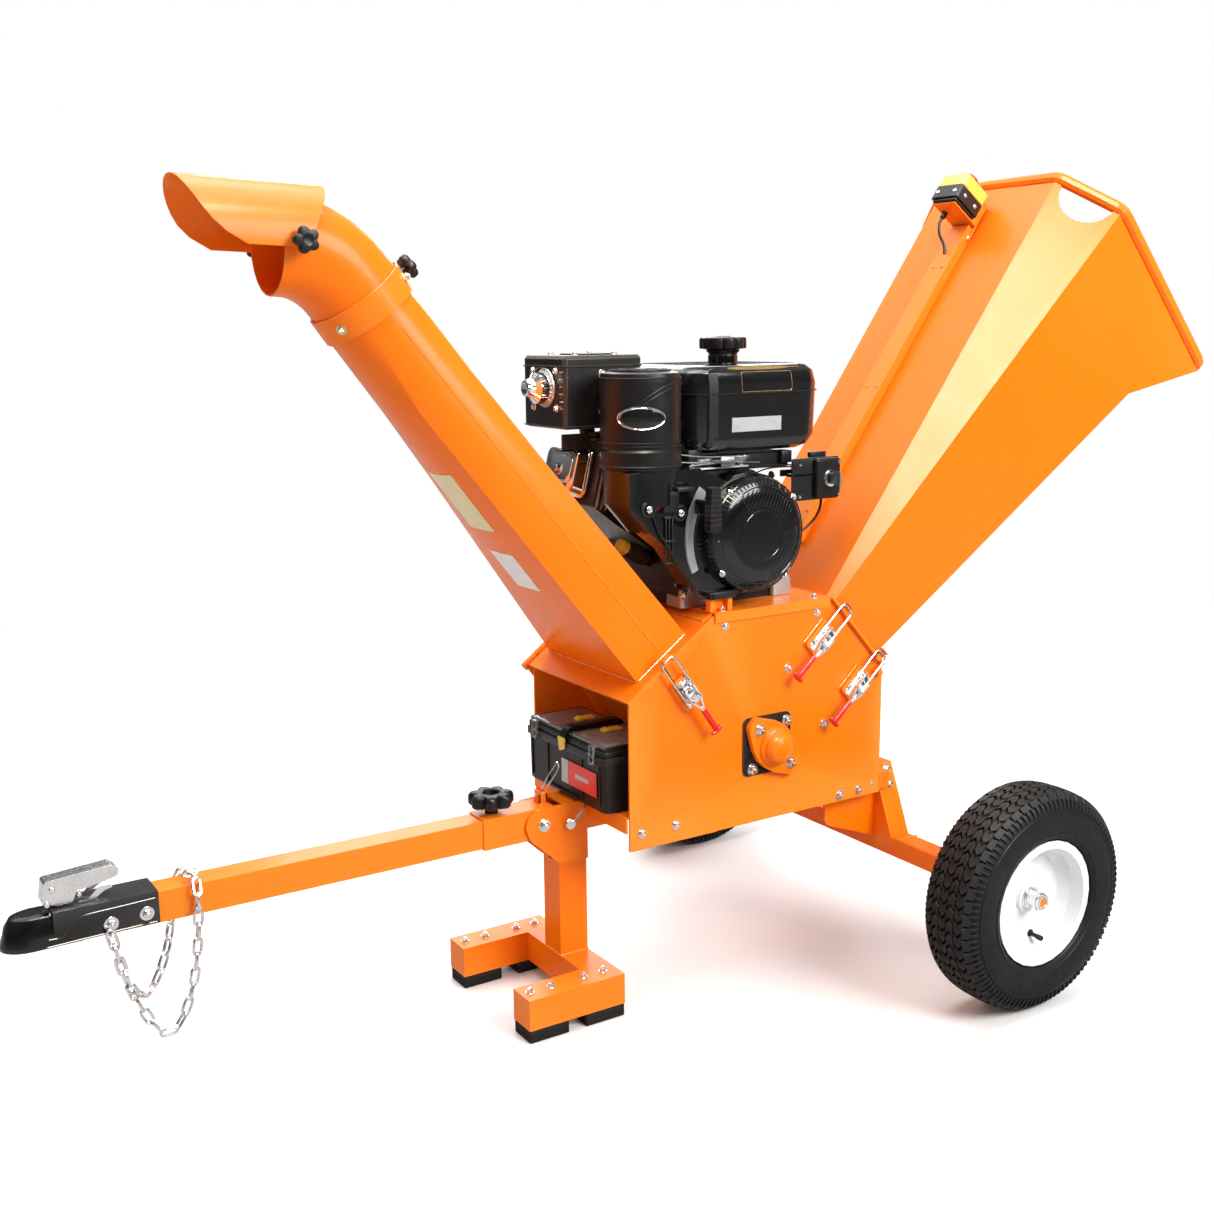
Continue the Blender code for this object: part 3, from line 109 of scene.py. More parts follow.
# ------------------------------------------------------------------ materials
def ramp(nt, fac, stops):
    r = nt.nodes.new("ShaderNodeValToRGB")
    e = r.color_ramp.elements
    e[0].position, e[0].color = stops[0][0], (*stops[0][1], 1)
    e[1].position, e[1].color = stops[-1][0], (*stops[-1][1], 1)
    for p, c in stops[1:-1]:
        k = e.new(p)
        k.color = (*c, 1)
    nt.links.new(fac, r.inputs[0])
    return r.outputs[0]


def noise(nt, vec, scale, detail=3.0, rough=.55, stretch=None):
    n = nt.nodes.new("ShaderNodeTexNoise")
    n.inputs["Scale"].default_value = scale
    n.inputs["Detail"].default_value = detail
    n.inputs["Roughness"].default_value = rough
    if stretch:
        m = nt.nodes.new("ShaderNodeMapping")
        m.inputs["Scale"].default_value = stretch
        nt.links.new(vec, m.inputs[0])
        vec = m.outputs[0]
    nt.links.new(vec, n.inputs["Vector"])
    return n.outputs["Fac"]


def maprange(nt, v, a, b, c, d):
    m = nt.nodes.new("ShaderNodeMapRange")
    for i, x in zip((1, 2, 3, 4), (a, b, c, d)):
        m.inputs[i].default_value = x
    nt.links.new(v, m.inputs[0])
    return m.outputs[0]


def mixc(nt, fac, a, b):
    m = nt.nodes.new("ShaderNodeMix")
    m.data_type = "RGBA"
    for sock, val in ((m.inputs[6], a), (m.inputs[7], b)):
        if isinstance(val, tuple):
            sock.default_value = (*val, 1)
        else:
            nt.links.new(val, sock)
    if isinstance(fac, float):
        m.inputs[0].default_value = fac
    else:
        nt.links.new(fac, m.inputs[0])
    return m.outputs[2]


MATS = {}


def mat(name, rgb, rough=.4, metal=0., coat=0., vary=.12, vscale=5., rvary=.08, bump=.05, bscale=600., bump2=0., b2scale=25.,
        edge=None, edge_amt=.5, dust=None, dust_amt=0., spec=.5, trans=0., stretch=None, ior=1.45, sheen=0., coat_rough=.08):
    m = bpy.data.materials.new(name)
    m.use_nodes = True
    nt = m.node_tree
    b = nt.nodes["Principled BSDF"]
    tc = nt.nodes.new("ShaderNodeTexCoord")
    vec = tc.outputs["Object"]
    n1 = noise(nt, vec, vscale, 4)
    dark = tuple(c * (1 - vary) for c in rgb)
    lite = tuple(min(1, c * (1 + vary * .6) + .004) for c in rgb)
    col = ramp(nt, n1, [(.3, dark), (.5, rgb), (.72, lite)])
    geo = nt.nodes.new("ShaderNodeNewGeometry")
    if edge:
        pt = maprange(nt, geo.outputs["Pointiness"], .53, .60, 0., edge_amt)
        col = mixc(nt, pt, col, edge)
    if dust:
        n3 = noise(nt, vec, 38., 5, .65)
        sep = nt.nodes.new("ShaderNodeSeparateXYZ")
        nt.links.new(geo.outputs["Normal"], sep.inputs[0])
        up = maprange(nt, sep.outputs[2], .2, 1., .35, 1.)
        mu = nt.nodes.new("ShaderNodeMath")
        mu.operation = "MULTIPLY"
        nt.links.new(maprange(nt, n3, .5, .8, 0., dust_amt), mu.inputs[0])
        nt.links.new(up, mu.inputs[1])
        col = mixc(nt, mu.outputs[0], col, dust)
    nt.links.new(col, b.inputs["Base Color"])
    n2 = noise(nt, vec, vscale * 6.5, 5, .6, stretch)
    nt.links.new(maprange(nt, n2, .25, .75, max(rough - rvary, .02), rough + rvary), b.inputs["Roughness"])
    b.inputs["Metallic"].default_value = metal
    b.inputs["Specular IOR Level"].default_value = spec
    b.inputs["IOR"].default_value = ior
    b.inputs["Coat Weight"].default_value = coat
    b.inputs["Coat Roughness"].default_value = coat_rough
    b.inputs["Transmission Weight"].default_value = trans
    b.inputs["Sheen Weight"].default_value = sheen
    if bump:
        bn = nt.nodes.new("ShaderNodeBump")
        bn.inputs["Strength"].default_value = bump
        bn.inputs["Distance"].default_value = .001
        nt.links.new(noise(nt, vec, bscale, 2, .5, stretch), bn.inputs["Height"])
        if bump2:
            bm2 = nt.nodes.new("ShaderNodeBump")
            bm2.inputs["Strength"].default_value = bump2
            bm2.inputs["Distance"].default_value = .002
            nt.links.new(noise(nt, vec, b2scale, 3, .5), bm2.inputs["Height"])
            nt.links.new(bm2.outputs[0], bn.inputs["Normal"])
        nt.links.new(bn.outputs[0], b.inputs["Normal"])
        if coat:
            nt.links.new(bn.outputs[0], b.inputs["Coat Normal"])
    m.diffuse_color = (*rgb, 1)
    MATS[name] = m
    return m


ORANGE = mat("orange_powder_coat", (1.0, .195, .002), .30, 0, .08, spec=.22, vary=.03, vscale=3, rvary=.05, bump=.09, bscale=420,
             bump2=.018, b2scale=14, edge=(1.0, .40, .06), edge_amt=.35, dust=(1.0, .36, .06), dust_amt=.10)
WELD = mat("weld_bead_painted", (1.0, .235, .008), .30, 0, .5, vary=.16, vscale=70, bump=.35, bscale=260, bump2=.3, b2scale=90)
BLACK = mat("black_moulded_plastic", (.0055, .0055, .006), .34, 0, 0, spec=.34, vary=.35, vscale=8, rvary=.09, bump=.18, bscale=900,
            edge=(.035, .035, .038), edge_amt=.5, dust=(.05, .048, .045), dust_amt=.10)
GLOSSBLACK = mat("black_gloss_shell", (.003, .003, .0035), .13, 0, .35, spec=.4, vary=.3, vscale=5, rvary=.04, bump=.05, bscale=300,
                 edge=(.05, .05, .055), edge_amt=.35)
BLACKPAINT = mat("black_enamel", (.0035, .0035, .004), .20, 0, .35, spec=.4, vary=.3, vscale=7, bump=.12, bscale=380, bump2=.05,
                 edge=(.10, .10, .11), edge_amt=.5, dust=(.06, .055, .05), dust_amt=.10)
HEATBLACK = mat("heat_black_steel", (.0055, .0055, .006), .38, .1, 0, spec=.4, vary=.4, vscale=14, bump=.2, bscale=500,
                edge=(.10, .09, .08), edge_amt=.5)
TYRE = mat("tyre_rubber", (.0040, .0040, .0044), .50, 0, 0, vary=.3, vscale=12, rvary=.12, bump=.35, bscale=420, bump2=.08, b2scale=60,
           edge=(.030, .030, .031), edge_amt=.5, dust=(.05, .046, .042), dust_amt=.14, spec=.30)
RUBBER = mat("pad_rubber", (.007, .007, .0075), .66, 0, 0, vary=.3, vscale=16, bump=.4, bscale=300, edge=(.04, .04, .04),
             dust=(.07, .065, .06), dust_amt=.16, spec=.3)
ZINC = mat("bright_zinc", (.74, .75, .77), .24, 1, 0, vary=.14, vscale=30, rvary=.08, bump=.05, bscale=700, edge=(.95, .95, .97))
YZINC = mat("yellow_zinc", (.76, .66, .42), .28, 1, 0, vary=.2, vscale=40, rvary=.10, bump=.12, bscale=700)
STEEL = mat("worked_steel", (.42, .43, .45), .34, 1, 0, vary=.2, vscale=22, rvary=.12, bump=.2, bscale=500, stretch=(1, 14, 1))
ALLOY = mat("cast_alloy", (.42, .42, .43), .50, 1, 0, vary=.18, vscale=26, rvary=.12, bump=.6, bscale=330, bump2=.12, b2scale=70,
            edge=(.75, .75, .76), dust=(.10, .09, .08), dust_amt=.25)
CHROME = mat("chrome_plate", (.80, .81, .83), .07, 1, 0, vary=.05, vscale=9, rvary=.04, bump=.03, bscale=60)
WHITE = mat("white_enamel", (.86, .88, .90), .26, 0, .5, vary=.035, vscale=7, rvary=.05, bump=.08, bscale=330, bump2=.04,
            edge=(.98, .98, .98), dust=(.70, .68, .64), dust_amt=.16)
RED = mat("red_vinyl_grip", (.78, .004, .006), .32, 0, .1, vary=.16, vscale=16, bump=.16, bscale=420, edge=(.85, .10, .08))
YELLOW = mat("yellow_plastic", (.93, .60, .008), .32, 0, .25, vary=.07, vscale=12, bump=.12, bscale=620, edge=(1, .85, .3))
GOLD = mat("gold_pinstripe", (.52, .34, .13), .30, .75, .2, vary=.12, vscale=30, bump=.05, bscale=500)
GREY = mat("blower_silver_paint", (.30, .30, .31), .34, .55, .3, vary=.10, vscale=18, bump=.14, bscale=520, edge=(.5, .5, .5))
LABEL = mat("blank_label_foil", (.55, .56, .58), .36, .35, .2, vary=.08, vscale=60, bump=.06, bscale=300)
CREAM = mat("blank_label_cream", (.86, .80, .45), .42, 0, .2, vary=.06, vscale=40, bump=.06, bscale=300)
CLEAR = mat("clear_ribbed_lid", (.62, .68, .70), .12, 0, .3, vary=.05, vscale=10, rvary=.05, bump=.1, bscale=200, trans=.82, ior=1.38)
BRASS = mat("bronze_fitting", (.62, .26, .06), .30, .6, .2, vary=.16, vscale=50, bump=.1, bscale=500)
# near-black painted shade, laid over the bearing plate slots and the stand column hole in place of their shadowed
# openings
RECESS_SHADE = mat("painted_recess_shade", (.003, .003, .003), .75, 0, 0, vary=.3, vscale=30, bump=.2, bscale=400, spec=.15)
INNER = mat("chamber_steel", (.30, .30, .31), .45, 1, 0, vary=.3, vscale=20, rvary=.15, bump=.3, bscale=300)


def paint_node(name, m):
    me = NODES[name].data
    me.materials.clear()
    me.materials.append(m)


# ------------------------------------------- smooth-by-angle finish for solids
def finish_group(angle):
    g = bpy.data.node_groups.new("smooth_%d" % angle, "GeometryNodeTree")
    g.interface.new_socket("Geometry", in_out="INPUT", socket_type="NodeSocketGeometry")
    g.interface.new_socket("Geometry", in_out="OUTPUT", socket_type="NodeSocketGeometry")
    i, o = g.nodes.new("NodeGroupInput"), g.nodes.new("NodeGroupOutput")
    ea = g.nodes.new("GeometryNodeInputMeshEdgeAngle")
    gt = g.nodes.new("FunctionNodeCompare")
    gt.data_type, gt.operation = "FLOAT", "GREATER_THAN"
    gt.inputs[1].default_value = R(angle)
    s1 = g.nodes.new("GeometryNodeSetShadeSmooth")
    s1.domain = "FACE"
    s2 = g.nodes.new("GeometryNodeSetShadeSmooth")
    s2.domain = "EDGE"
    s2.inputs["Shade Smooth"].default_value = False
    L = g.links.new
    L(i.outputs[0], s1.inputs[0])
    L(s1.outputs[0], s2.inputs[0])
    L(ea.outputs["Unsigned Angle"], gt.inputs[0])
    L(gt.outputs[0], s2.inputs["Selection"])
    L(s2.outputs[0], o.inputs[0])
    return g


SMOOTH = {a: finish_group(a) for a in (18, 32)}


def even(ob):
    """Keeps broad flat faces flat-looking beside their eased edges."""
    n = ob.modifiers.new("even", "WEIGHTED_NORMAL")
    n.mode, n.weight, n.keep_sharp = "FACE_AREA", 60, True


def dress(name, m, bevel=.0009, angle=32):
    """CAD node: painted, its facets smoothed and its edges eased."""
    ob = NODES[name]
    paint_node(name, m)
    for a in ("custom_normal", "sharp_face"):
        if a in ob.data.attributes:
            ob.data.attributes.remove(ob.data.attributes[a])
    w = ob.modifiers.new("weld", "WELD")
    w.merge_threshold = .00001
    d = ob.modifiers.new("flat", "DECIMATE")
    d.decimate_type, d.angle_limit = "DISSOLVE", R(.4)
    if bevel:
        b = ob.modifiers.new("ease", "BEVEL")
        b.width, b.segments, b.limit_method, b.angle_limit = bevel, 2, "ANGLE", R(38)
        b.miter_outer = "MITER_ARC"
    s = ob.modifiers.new("smooth", "NODES")
    s.node_group = SMOOTH[angle]
    even(ob)


# ------------------------------------------------------------------- geometry
def basis(axis):
    w = V(axis).normalized()
    t = Z if abs(w.z) < .9 else X
    u = w.cross(t).normalized()
    return u, w.cross(u), w


def loft(rings, closed=False, bm=None):
    bm = bm or bmesh.new()
    rows = [[bm.verts.new(p) for p in r] for r in rings]
    k = len(rows[0])
    pairs = list(zip(rows, rows[1:]))
    if closed:
        pairs.append((rows[-1], rows[0]))
    for a, b in pairs:
        for i in range(k):
            j = (i + 1) % k
            bm.faces.new((a[i], a[j], b[j], b[i]))
    if not closed:
        bm.faces.new(list(reversed(rows[0])))
        bm.faces.new(rows[-1])
    return bm


def prism(pts, place, h0, h1, bm=None):
    return loft([[place(u, v, h0) for u, v in pts], [place(u, v, h1) for u, v in pts]], bm=bm)


def XZ(u, v, h):
    return V((u, h, v))


def YZ(u, v, h):
    return V((h, u, v))


def XY(u, v, h):
    return V((u, v, h))


def lathe(profile, o, axis, n=48, closed=False, bm=None):
    u, v, w = basis(axis)
    o = V(o)
    bm = bm or bmesh.new()
    rows = []
    for r, h in profile:
        if r <= 1e-9:
            rows.append([bm.verts.new(o + w * h)])
        else:
            rows.append([bm.verts.new(o + w * h + r * (u * math.cos(2 * math.pi * i / n) + v * math.sin(2 * math.pi * i / n)))
                         for i in range(n)])
    pairs = list(zip(rows, rows[1:]))
    if closed:
        pairs.append((rows[-1], rows[0]))
    for a, b in pairs:
        for i in range(n):
            j = (i + 1) % n
            if len(a) == 1:
                bm.faces.new((a[0], b[j], b[i]))
            elif len(b) == 1:
                bm.faces.new((a[i], a[j], b[0]))
            else:
                bm.faces.new((a[i], a[j], b[j], b[i]))
    return bm


def rod(p0, p1, r, n=16, bm=None, ease=.0006):
    p0, p1 = V(p0), V(p1)
    d = (p1 - p0).length
    e = min(ease, r * .4, d * .3)
    return lathe([(0, 0), (r - e, 0), (r, e), (r, d - e), (r - e, d), (0, d)], p0, p1 - p0, n, bm=bm)


def rounded(pts, r, seg=4):
    out = []
    k = len(pts)
    for i, p in enumerate(pts):
        rr = r[i] if isinstance(r, (list, tuple)) else r
        p = V(p)
        a, b = V(pts[i - 1]) - p, V(pts[(i + 1) % k]) - p
        if rr <= 0:
            out.append(tuple(p))
            continue
        half = a.angle(b) / 2
        t = min(rr / math.tan(half), a.length * .48, b.length * .48)
        q = t * math.tan(half)
        c = p + (a.normalized() + b.normalized()).normalized() * math.hypot(t, q)
        s, e = p + a.normalized() * t - c, p + b.normalized() * t - c
        ang = s.angle_signed(e)
        for m in range(seg + 1):
            f = -ang * m / seg
            out.append((c.x + s.x * math.cos(f) - s.y * math.sin(f), c.y + s.x * math.sin(f) + s.y * math.cos(f)))
    return out


def smooth_path(pts, per=8, closed=False):
    """Catmull-Rom through points."""
    pts = [V(p) for p in pts]
    k = len(pts)
    out = []
    rng = range(k) if closed else range(k - 1)
    for i in rng:
        if closed:
            p0, p1, p2, p3 = pts[i - 1], pts[i], pts[(i + 1) % k], pts[(i + 2) % k]
        else:
            p0, p1, p2, p3 = pts[max(i - 1, 0)], pts[i], pts[i + 1], pts[min(i + 2, k - 1)]
        for j in range(per):
            t = j / per
            out.append(.5 * ((2 * p1) + (p2 - p0) * t + (2 * p0 - 5 * p1 + 4 * p2 - p3) * t * t
                             + (3 * p1 - p0 - 3 * p2 + p3) * t ** 3))
    if not closed:
        out.append(pts[-1])
    return out


def sweep(path, r, n=8, closed=False, bm=None, up=None):
    path = [V(p) for p in path]
    k = len(path)
    rings = []
    t0 = (path[1] - path[0]).normalized()
    ref = V(up) if up else (Z if abs(t0.z) < .9 else X)
    for i, p in enumerate(path):
        a = path[i - 1] if (closed or i) else p
        b = path[(i + 1) % k] if (closed or i < k - 1) else p
        t = (b - a).normalized()
        u = (ref - t * ref.dot(t))
        u = u.normalized() if u.length > 1e-6 else basis(t)[0]
        v = t.cross(u)
        rr = r(i / max(k - 1, 1)) if callable(r) else r
        rings.append([p + (u * math.cos(2 * math.pi * (j + .5) / n) + v * math.sin(2 * math.pi * (j + .5) / n)) * rr for j in range(n)])
        ref = u
    return loft(rings, closed=closed, bm=bm)


def boxm(x0, x1, y0, y1, z0, z1, bev=.001, seg=2, bm=None):
    b = bmesh.new()
    bmesh.ops.create_cube(b, size=1.0)
    for v in b.verts:
        v.co = V((x0 + (v.co.x + .5) * (x1 - x0), y0 + (v.co.y + .5) * (y1 - y0), z0 + (v.co.z + .5) * (z1 - z0)))
    if bev:
        bmesh.ops.bevel(b, geom=b.edges[:], offset=bev, segments=seg, affect='EDGES', profile=.5)
    return merge(bm, b)


def merge(dst, src):
    if dst is None:
        return src
    me = bpy.data.meshes.new("t")
    src.to_mesh(me)
    src.free()
    dst.from_mesh(me)
    bpy.data.meshes.remove(me)
    return dst


def slab(cx, cy, hx, hy, r, levels, seg=8, bm=None):
    rings = []
    for z, inset in levels:
        pts = rounded([(cx - hx + inset, cy - hy + inset), (cx + hx - inset, cy - hy + inset),
                       (cx + hx - inset, cy + hy - inset), (cx - hx + inset, cy + hy - inset)], r, seg)
        rings.append([V((x, y, z)) for x, y in pts])
    return loft(rings, bm=bm)


def hexbolt(bm, p, axis, r=.0065, h=.0052, washer=.0095, thread=0., dome=True):
    """Hex head on a washer, standing on point p along axis."""
    p = V(p)
    u, v, w = basis(axis)
    if washer:
        lathe([(0, 0), (washer, 0), (washer, .0012), (washer - .0005, .0017), (0, .0017)], p, axis, 24, bm=bm)
    b = p + w * (.0017 if washer else 0)
    rings = []
    for k, hh in ((1, 0), (1, h * .80), (.93, h * .93), (.80, h)):
        rings.append([b + w * hh + (u * math.cos(math.pi * i / 3) + v * math.sin(math.pi * i / 3)) * r * k for i in range(6)])
    loft(rings, bm=bm)
    if thread:
        lathe([(0, h), (r * .52, h), (r * .52, h + thread - .001), (r * .42, h + thread), (0, h + thread)], b, axis, 14, bm=bm)
    elif dome:
        lathe([(r * .62, h), (r * .5, h + .0006), (0, h + .0008)], b, axis, 14, bm=bm)
    return bm


def star(r, lobes, h0, h1, o, axis, stem_r, stem_h, bm=None, per=12, hollow=False):
    """Moulded hand knob: lobed, crowned, with a dished hub."""
    u, v, w = basis(axis)
    o = V(o)
    n = lobes * per

    def ring(k, h):
        pts = []
        for i in range(n):
            a = 2 * math.pi * i / n
            c = .5 + .5 * math.cos(lobes * a)
            rr = r * (.72 + .28 * c ** .55) * k
            pts.append(o + w * h + (u * math.cos(a) + v * math.sin(a)) * rr)
        return pts

    def circ(rr, h):
        return [o + w * h + (u * math.cos(2 * math.pi * i / n) + v * math.sin(2 * math.pi * i / n)) * rr for i in range(n)]
    t = h1 - h0
    rings = [circ(stem_r, stem_h), circ(stem_r * 1.02, h0 - .15 * t), circ(stem_r * 1.5, h0), ring(.80, h0), ring(.93, h0 + .06 * t),
             ring(1, h0 + .20 * t), ring(1, h0 + .62 * t), ring(.97, h0 + .80 * t), ring(.88, h0 + .94 * t), ring(.72, h1),
             circ(r * .42, h1), circ(r * .36, h1 - .06 * t), circ(r * .30, h1 - (.45 if hollow else .10) * t)]
    return loft(rings, bm=bm)


def piece(name, bm, m, body, bevel=0., angle=32, sub=0, hide=(), even_n=False):
    bmesh.ops.remove_doubles(bm, verts=bm.verts, dist=1e-6)
    bmesh.ops.recalc_face_normals(bm, faces=bm.faces)
    bmesh.ops.translate(bm, vec=UNDER_AXLE, verts=bm.verts)
    me = bpy.data.meshes.new(name)
    bm.to_mesh(me)
    bm.free()
    ob = bpy.data.objects.new(name, me)
    COLL.objects.link(ob)
    me.materials.append(m)
    if bevel:
        b = ob.modifiers.new("ease", "BEVEL")
        b.width, b.segments, b.limit_method, b.angle_limit = bevel, 2, "ANGLE", R(30)
    if sub:
        s = ob.modifiers.new("sub", "SUBSURF")
        s.levels = s.render_levels = sub
    g = ob.modifiers.new("smooth", "NODES")
    g.node_group = SMOOTH[angle]
    if bevel or even_n:
        even(ob)
    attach(ob, body)
    if hide:
        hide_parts(*hide)
    return ob


def bead(bm, pts, r=.0022, step=.004):
    """A weld bead: a rippled round bar along straight segments."""
    pts = [V(p) for p in pts]
    path = []
    for a, b in zip(pts, pts[1:]):
        k = max(2, int((b - a).length / step))
        path += [a + (b - a) * i / k for i in range(k)]
    path.append(pts[-1])
    k = len(path)
    rr = [r * (1 + (.16 if i % 2 else -.12) + rnd.uniform(-.10, .10)) for i in range(k)]
    rr[0] *= .5
    rr[-1] *= .5
    return sweep(path, lambda f: rr[min(int(round(f * (k - 1))), k - 1)], 8, bm=bm)


# ------------------------------------------------ finishes of the CAD solids
SLOTS = {"orange": ORANGE, "black_paint": BLACKPAINT, "black_plastic": BLACK, "rubber": RUBBER, "tyre": TYRE, "steel": STEEL,
         "zinc": ZINC, "alloy": ALLOY, "chrome": CHROME, "white_paint": WHITE, "yellow_plastic": YELLOW, "red_plastic": RED}
SPECIAL = {"muffler": HEATBLACK, "fuel_tank": GLOSSBLACK, "blower_housing": GLOSSBLACK, "coupler": BLACKPAINT,
           "rotor_drum": INNER, "bed_knife": STEEL, "engine_block": HEATBLACK, "valve_cover": CHROME,
           "estop_button": RED, "drive_belt": RUBBER}
FINE = {"fuel_cap": .0004, "ignition_key": .0003, "throttle_lever": .0003, "oil_cap": .0004, "key_switch_box": .0012,
        "muffler": .0016, "toolbox": .0022, "hitch_pin": .0003, "chute_hinge_pin": .0003, "hopper_hinge_pin": .0003,
        "engine_block": .0016, "chute_duct": .0006, "hopper_cone": .0006, "wheel_rim_near": .0006, "wheel_rim_far": .0006,
        "main_beam": .0022, "front_stand": .0016, "axle_frame": .0020, "tow_bar": .0022, "tow_sleeve": .0020}
for part in frame["record"]["subparts"]:
    nm = part["node"]
    dress(nm, SPECIAL.get(nm, SLOTS[part["material_slot"]]), FINE.get(nm, .0009))

from mathutils.bvhtree import BVHTree
TREES = {}


def hit(node, origin, direction):
    """First point of a CAD node's skin along a ray, with its outward normal."""
    if node not in TREES:
        me = NODES[node].data
        TREES[node] = BVHTree.FromPolygons([v.co - UNDER_AXLE for v in me.vertices], [tuple(p.vertices) for p in me.polygons])
    d = V(direction).normalized()
    p, n, _, _ = TREES[node].ray_cast(V(origin), d)
    if p is None:
        return None, None
    if n.dot(d) > 0:
        n = -n
    return p, n


def near(node, x, z, y=-1.):
    return hit(node, (x, y, z), (0, 1 if y < 0 else -1, 0))


def span(node, axis):
    """Lowest and highest reach of a node along an axis, and its middle line."""
    w = V(axis).normalized()
    co = [v.co - UNDER_AXLE for v in NODES[node].data.vertices]
    lo, hi = min(c.dot(w) for c in co), max(c.dot(w) for c in co)
    u, v, _ = basis(w)
    cu = (min(c.dot(u) for c in co) + max(c.dot(u) for c in co)) / 2
    cv = (min(c.dot(v) for c in co) + max(c.dot(v) for c in co)) / 2
    return u * cu + v * cv, lo, hi


# --------------------------------------------------------------------- wheels
def tyre_piece(sign, node, body, name):
    lo, hi = box_of(node)
    c = (lo + hi) / 2
    W = (hi.y - lo.y) / 2
    RR = (hi.z - lo.z) / 2
    bm = bmesh.new()
    half = [(.1168, .0440), (.1168, .0492), (.1190, .0532), (.1235, .0556), (.1262, .0566), (.1268, .0578), (.1290, .0578),
            (.1296, .0570), (.1400, .0586), (.1540, .0590), (.1640, .0582), (.1672, .0578), (.1680, .0586), (.1700, .0582),
            (.1708, .0566), (.1790, .0538), (.1850, .0500), (.1900, .0435), (.1938, .0330), (.1962, .0180), (.1970, .0)]
    prof = [(r * RR / .203, y * W / .059) for r, y in half]
    prof = prof + [(r, -y) for r, y in reversed(prof[:-1])]
    prof += [(.1210, -.0425), (.1210, .0425)]
    N = 144
    rows = []
    for r, y in prof:
        rows.append([bm.verts.new(c + V((r * math.cos(2 * math.pi * i / N), y, r * math.sin(2 * math.pi * i / N)))) for i in range(N)])
    for a, b in zip(rows, rows[1:] + rows[:1]):
        for i in range(N):
            j = (i + 1) % N
            bm.faces.new((a[i], a[j], b[j], b[i]))

    def crown(y):
        t = abs(y) / .059
        return RR * (1 - .0005 - .024 * t ** 2 - .185 * t ** 8)
    pitch = 2 * math.pi / 52

    def block(poly, h=.0052):
        n = len(poly)
        ct = sum(p[0] for p in poly) / n
        cy = sum(p[1] for p in poly) / n
        rings = []
        for k, dr in ((1.03, -h - .0015), (1.0, -.0010), (.93, 0.)):
            ring = []
            for t, y in poly:
                tt, yy = ct + (t - ct) * k, cy + (y - cy) * k
                r = crown(yy) + dr
                ring.append(c + V((r * math.cos(tt), yy, r * math.sin(tt))))
            rings.append(ring)
        loft(rings, bm=bm)
    for row, (yc, hw, bend, wt) in enumerate(((0., .0072, .34, .38), (.0166, .0074, -.34, .38), (-.0166, .0074, -.34, .38),
                                              (.0334, .0074, .34, .38), (-.0334, .0074, .34, .38),
                                              (.0455, .0040, 0., .41), (-.0455, .0040, 0., .41))):
        for i in range(52):
            t = (i + (.5 if row in (1, 2, 5, 6) else 0)) * pitch
            a, b = wt * pitch, bend * pitch
            if bend:
                poly = [(t - a, yc - hw), (t - a + b, yc), (t - a, yc + hw), (t + a, yc + hw), (t + a + b, yc), (t + a, yc - hw)]
            else:
                poly = [(t - a, yc - hw), (t - a, yc + hw), (t + a, yc + hw), (t + a, yc - hw)]
            block(poly)
    for side in (1, -1):
        for i in range(104):
            t = (i + .25) * pitch / 2
            ring = []
            for r, y, g in ((.1925, .0455, .0006), (.1870, .0510, .0026), (.1800, .0548, .0026), (.1735, .0570, .0004)):
                w = .0021 / r
                u = V((math.cos(t), 0, math.sin(t)))
                s = V((-math.sin(t), 0, math.cos(t)))
                p = c + u * r + V((0, side * y, 0))
                nrm = (u * .55 + V((0, side * .83, 0))).normalized()
                ring.append([p - s * .0021 - nrm * .002, p - s * .0017 + nrm * (g * .6), p + s * .0017 + nrm * (g * .6), p + s * .0021 - nrm * .002])
            loft(ring, bm=bm)
    return piece(name, bm, TYRE, body, angle=32, hide=(node,))


